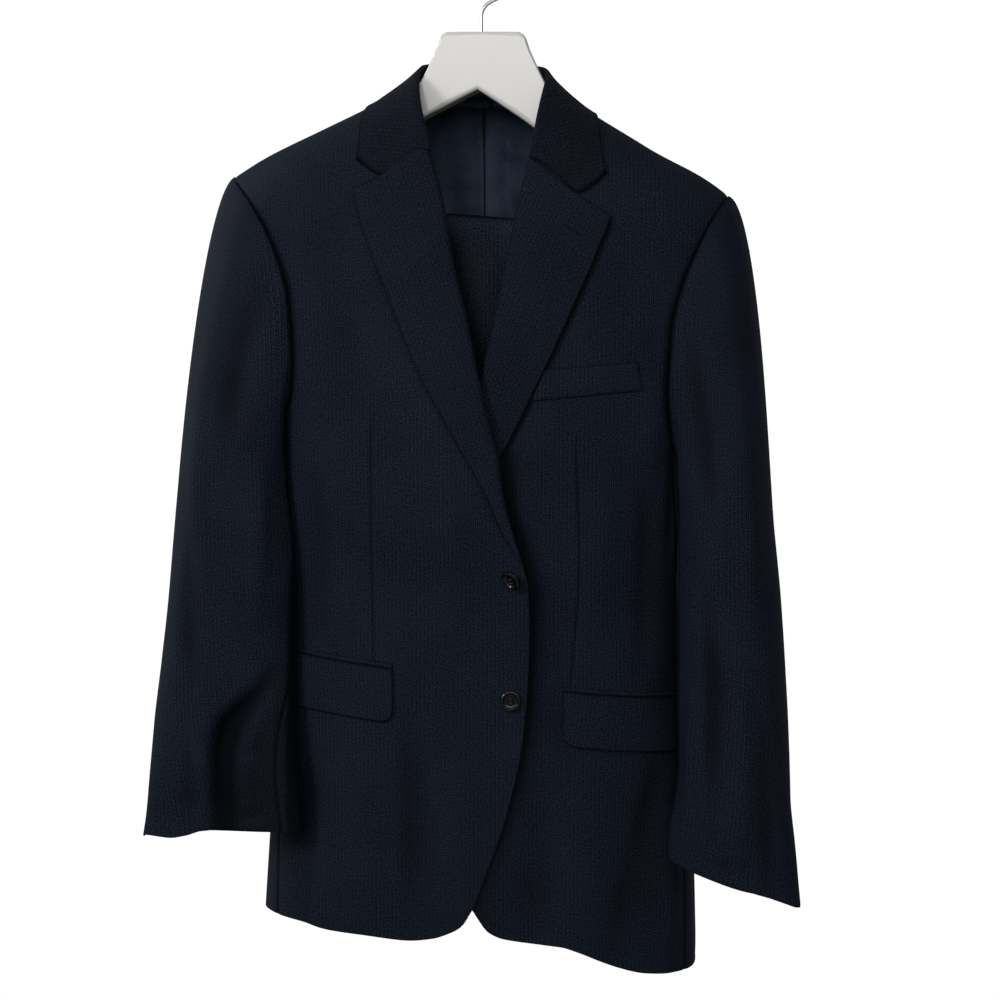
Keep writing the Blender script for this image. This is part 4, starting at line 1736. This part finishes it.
def model_button():
    """A button of 1 m radius times its size, and its thread, facing +Z at the origin."""
    bpy.ops.object.select_all(action="DESELECT")
    bpy.ops.mesh.primitive_cylinder_add(vertices=40, radius=0.96, depth=0.3, location=(0, 0, 0.16))
    disc = bpy.context.object
    bpy.ops.object.transform_apply(location=True)
    bpy.ops.object.mode_set(mode="EDIT")
    bpy.ops.mesh.select_mode(type="FACE")
    top_faces(disc, 0.2)
    bpy.ops.mesh.inset(thickness=0.1, depth=0.05)
    bpy.ops.mesh.inset(thickness=0.12, depth=0.0)
    bpy.ops.mesh.inset(thickness=0.1, depth=-0.15)
    bpy.ops.mesh.inset(thickness=0.2, depth=-0.01)
    bpy.ops.object.mode_set(mode="OBJECT")
    apply_modifier(disc, "BEVEL", limit_method="ANGLE", angle_limit=radians(25), width=0.03, segments=3)
    for k in range(4):
        angle = pi / 4 + k * pi / 2
        bpy.ops.mesh.primitive_cylinder_add(vertices=16, radius=0.1, depth=1.0,
                                            location=(0.27 * cos(angle), 0.27 * sin(angle), 0.1))
        drill = bpy.context.object
        select_only(disc)
        apply_modifier(disc, "BOOLEAN", operation="DIFFERENCE", solver="EXACT", object=drill)
        bpy.data.objects.remove(drill)
    bars = []
    for height in (-0.19, 0.19):
        bpy.ops.mesh.primitive_torus_add(major_radius=0.2, minor_radius=0.055, major_segments=24,
                                         minor_segments=8, location=(0, height, 0.14),
                                         rotation=(radians(90), 0, 0))
        bars.append(bpy.context.object)
    bpy.ops.mesh.primitive_cylinder_add(vertices=16, radius=0.22, depth=0.13, location=(0, 0, -0.05))
    bars.append(bpy.context.object)
    bpy.ops.object.select_all(action="DESELECT")
    for bar in bars:
        bar.select_set(True)
    bpy.context.view_layer.objects.active = bars[0]
    bpy.ops.object.join()
    bpy.ops.object.transform_apply(location=True, rotation=True, scale=True)
    return disc, bars[0]


button_disc, button_thread = model_button()
print("button faces", len(button_disc.data.polygons), "thread faces", len(button_thread.data.polygons))


# %% Buttons in their places
def put_button(node, spot, aim, radius):
    """Copies the button to a place on the cloth, facing along aim."""
    across = Vector((0, 0, 1)).cross(aim).normalized()
    turn = Matrix((across, aim.cross(across), aim)).transposed().to_4x4()
    place = Matrix.Translation(spot + aim * SHANK) @ turn @ Matrix.Scale(radius, 4)
    for word, source, finish, slot in (("", button_disc, horn, "button"),
                                       ("_thread", button_thread, dark_thread, "suiting")):
        piece = bpy.data.objects.new(node + word + "_piece", source.data.copy())
        piece.data.transform(place)
        bpy.context.scene.collection.objects.link(piece)
        select_only(piece)
        bpy.ops.object.shade_smooth_by_angle(angle=radians(40))
        hand_over(piece, finish, None if word else node)


# The upper front button hangs on a looser shank and tips down to its right.
for name, x, z, loose, tip in (("upper_front_button", 0.0343, -0.5604, 0.0052, (-0.7, 0, -0.64)),
                               ("lower_front_button", 0.0322, -0.6733, 0.0, (0, 0, 0.12))):
    base = on_body(x, z, FRONT)
    aim = outward(base)
    height = float(panel_lift(RIGHT, x, z)) + float(body_fold(base, FRONT)) + loose
    put_button(name, Vector(leaned(base + aim * height)), Vector(unit(aim + tip)), BUTTON_RADIUS)

for side, word in WORDS.items():
    turn = np.radians([HIND_SEAM + CUFF_BUTTON_TURN])
    line = sleeve_points(side, turn)[::-1, 0]
    around = sleeve_points(side, turn + 0.05)[::-1, 0]
    reach = np.concatenate([[0], np.cumsum(np.linalg.norm(np.diff(line, axis=0), axis=1))])
    for k in range(4):
        row = int(np.argmin(np.abs(reach - (CUFF_BUTTON_FROM + CUFF_BUTTON_STEP * k))))
        aim = unit(np.cross(around[row] - line[row], line[row + 2] - line[row - 2]))
        centre = sleeve_points(side, np.linspace(0, 2 * pi, 12))[::-1][row].mean(axis=0)
        aim = aim if aim @ (line[row] - centre) > 0 else -aim
        lift = sleeve_fold(side, line[row][None], turn)[0]
        put_button(f"{word}_cuff_button_{k + 1}", Vector(leaned(line[row] + aim * lift)), Vector(aim),
                   CUFF_BUTTON_RADIUS)

# %% Buttonhole in the left lapel
# Its ends: x and z on the front. A close row of stitches lies round the slit.
HOLE_ENDS = [(0.0761, -0.244), (0.0949, -0.2544)]
ends = leaned(on_cloth(*np.array(HOLE_ENDS).T, FRONT, REST + LAPEL_WALL + 0.0026)[0])
run = Vector(ends[1]) - Vector(ends[0])
bpy.ops.mesh.primitive_uv_sphere_add(segments=16, ring_count=40, location=(ends[0] + ends[1]) / 2,
                                     rotation=run.to_track_quat("Z", "Y").to_euler(),
                                     scale=(0.0005, 0.0005, run.length / 2))
stitches = bpy.context.object
stitches.name = stitches.data.name = "lapel_buttonhole_piece"
bpy.ops.object.transform_apply(location=True, rotation=True, scale=True)
bpy.ops.object.shade_smooth()
hand_over(stitches, buttonhole_thread)
for used in (button_disc, button_thread):
    bpy.data.objects.remove(used)
print("buttonhole", round(run.length, 4))
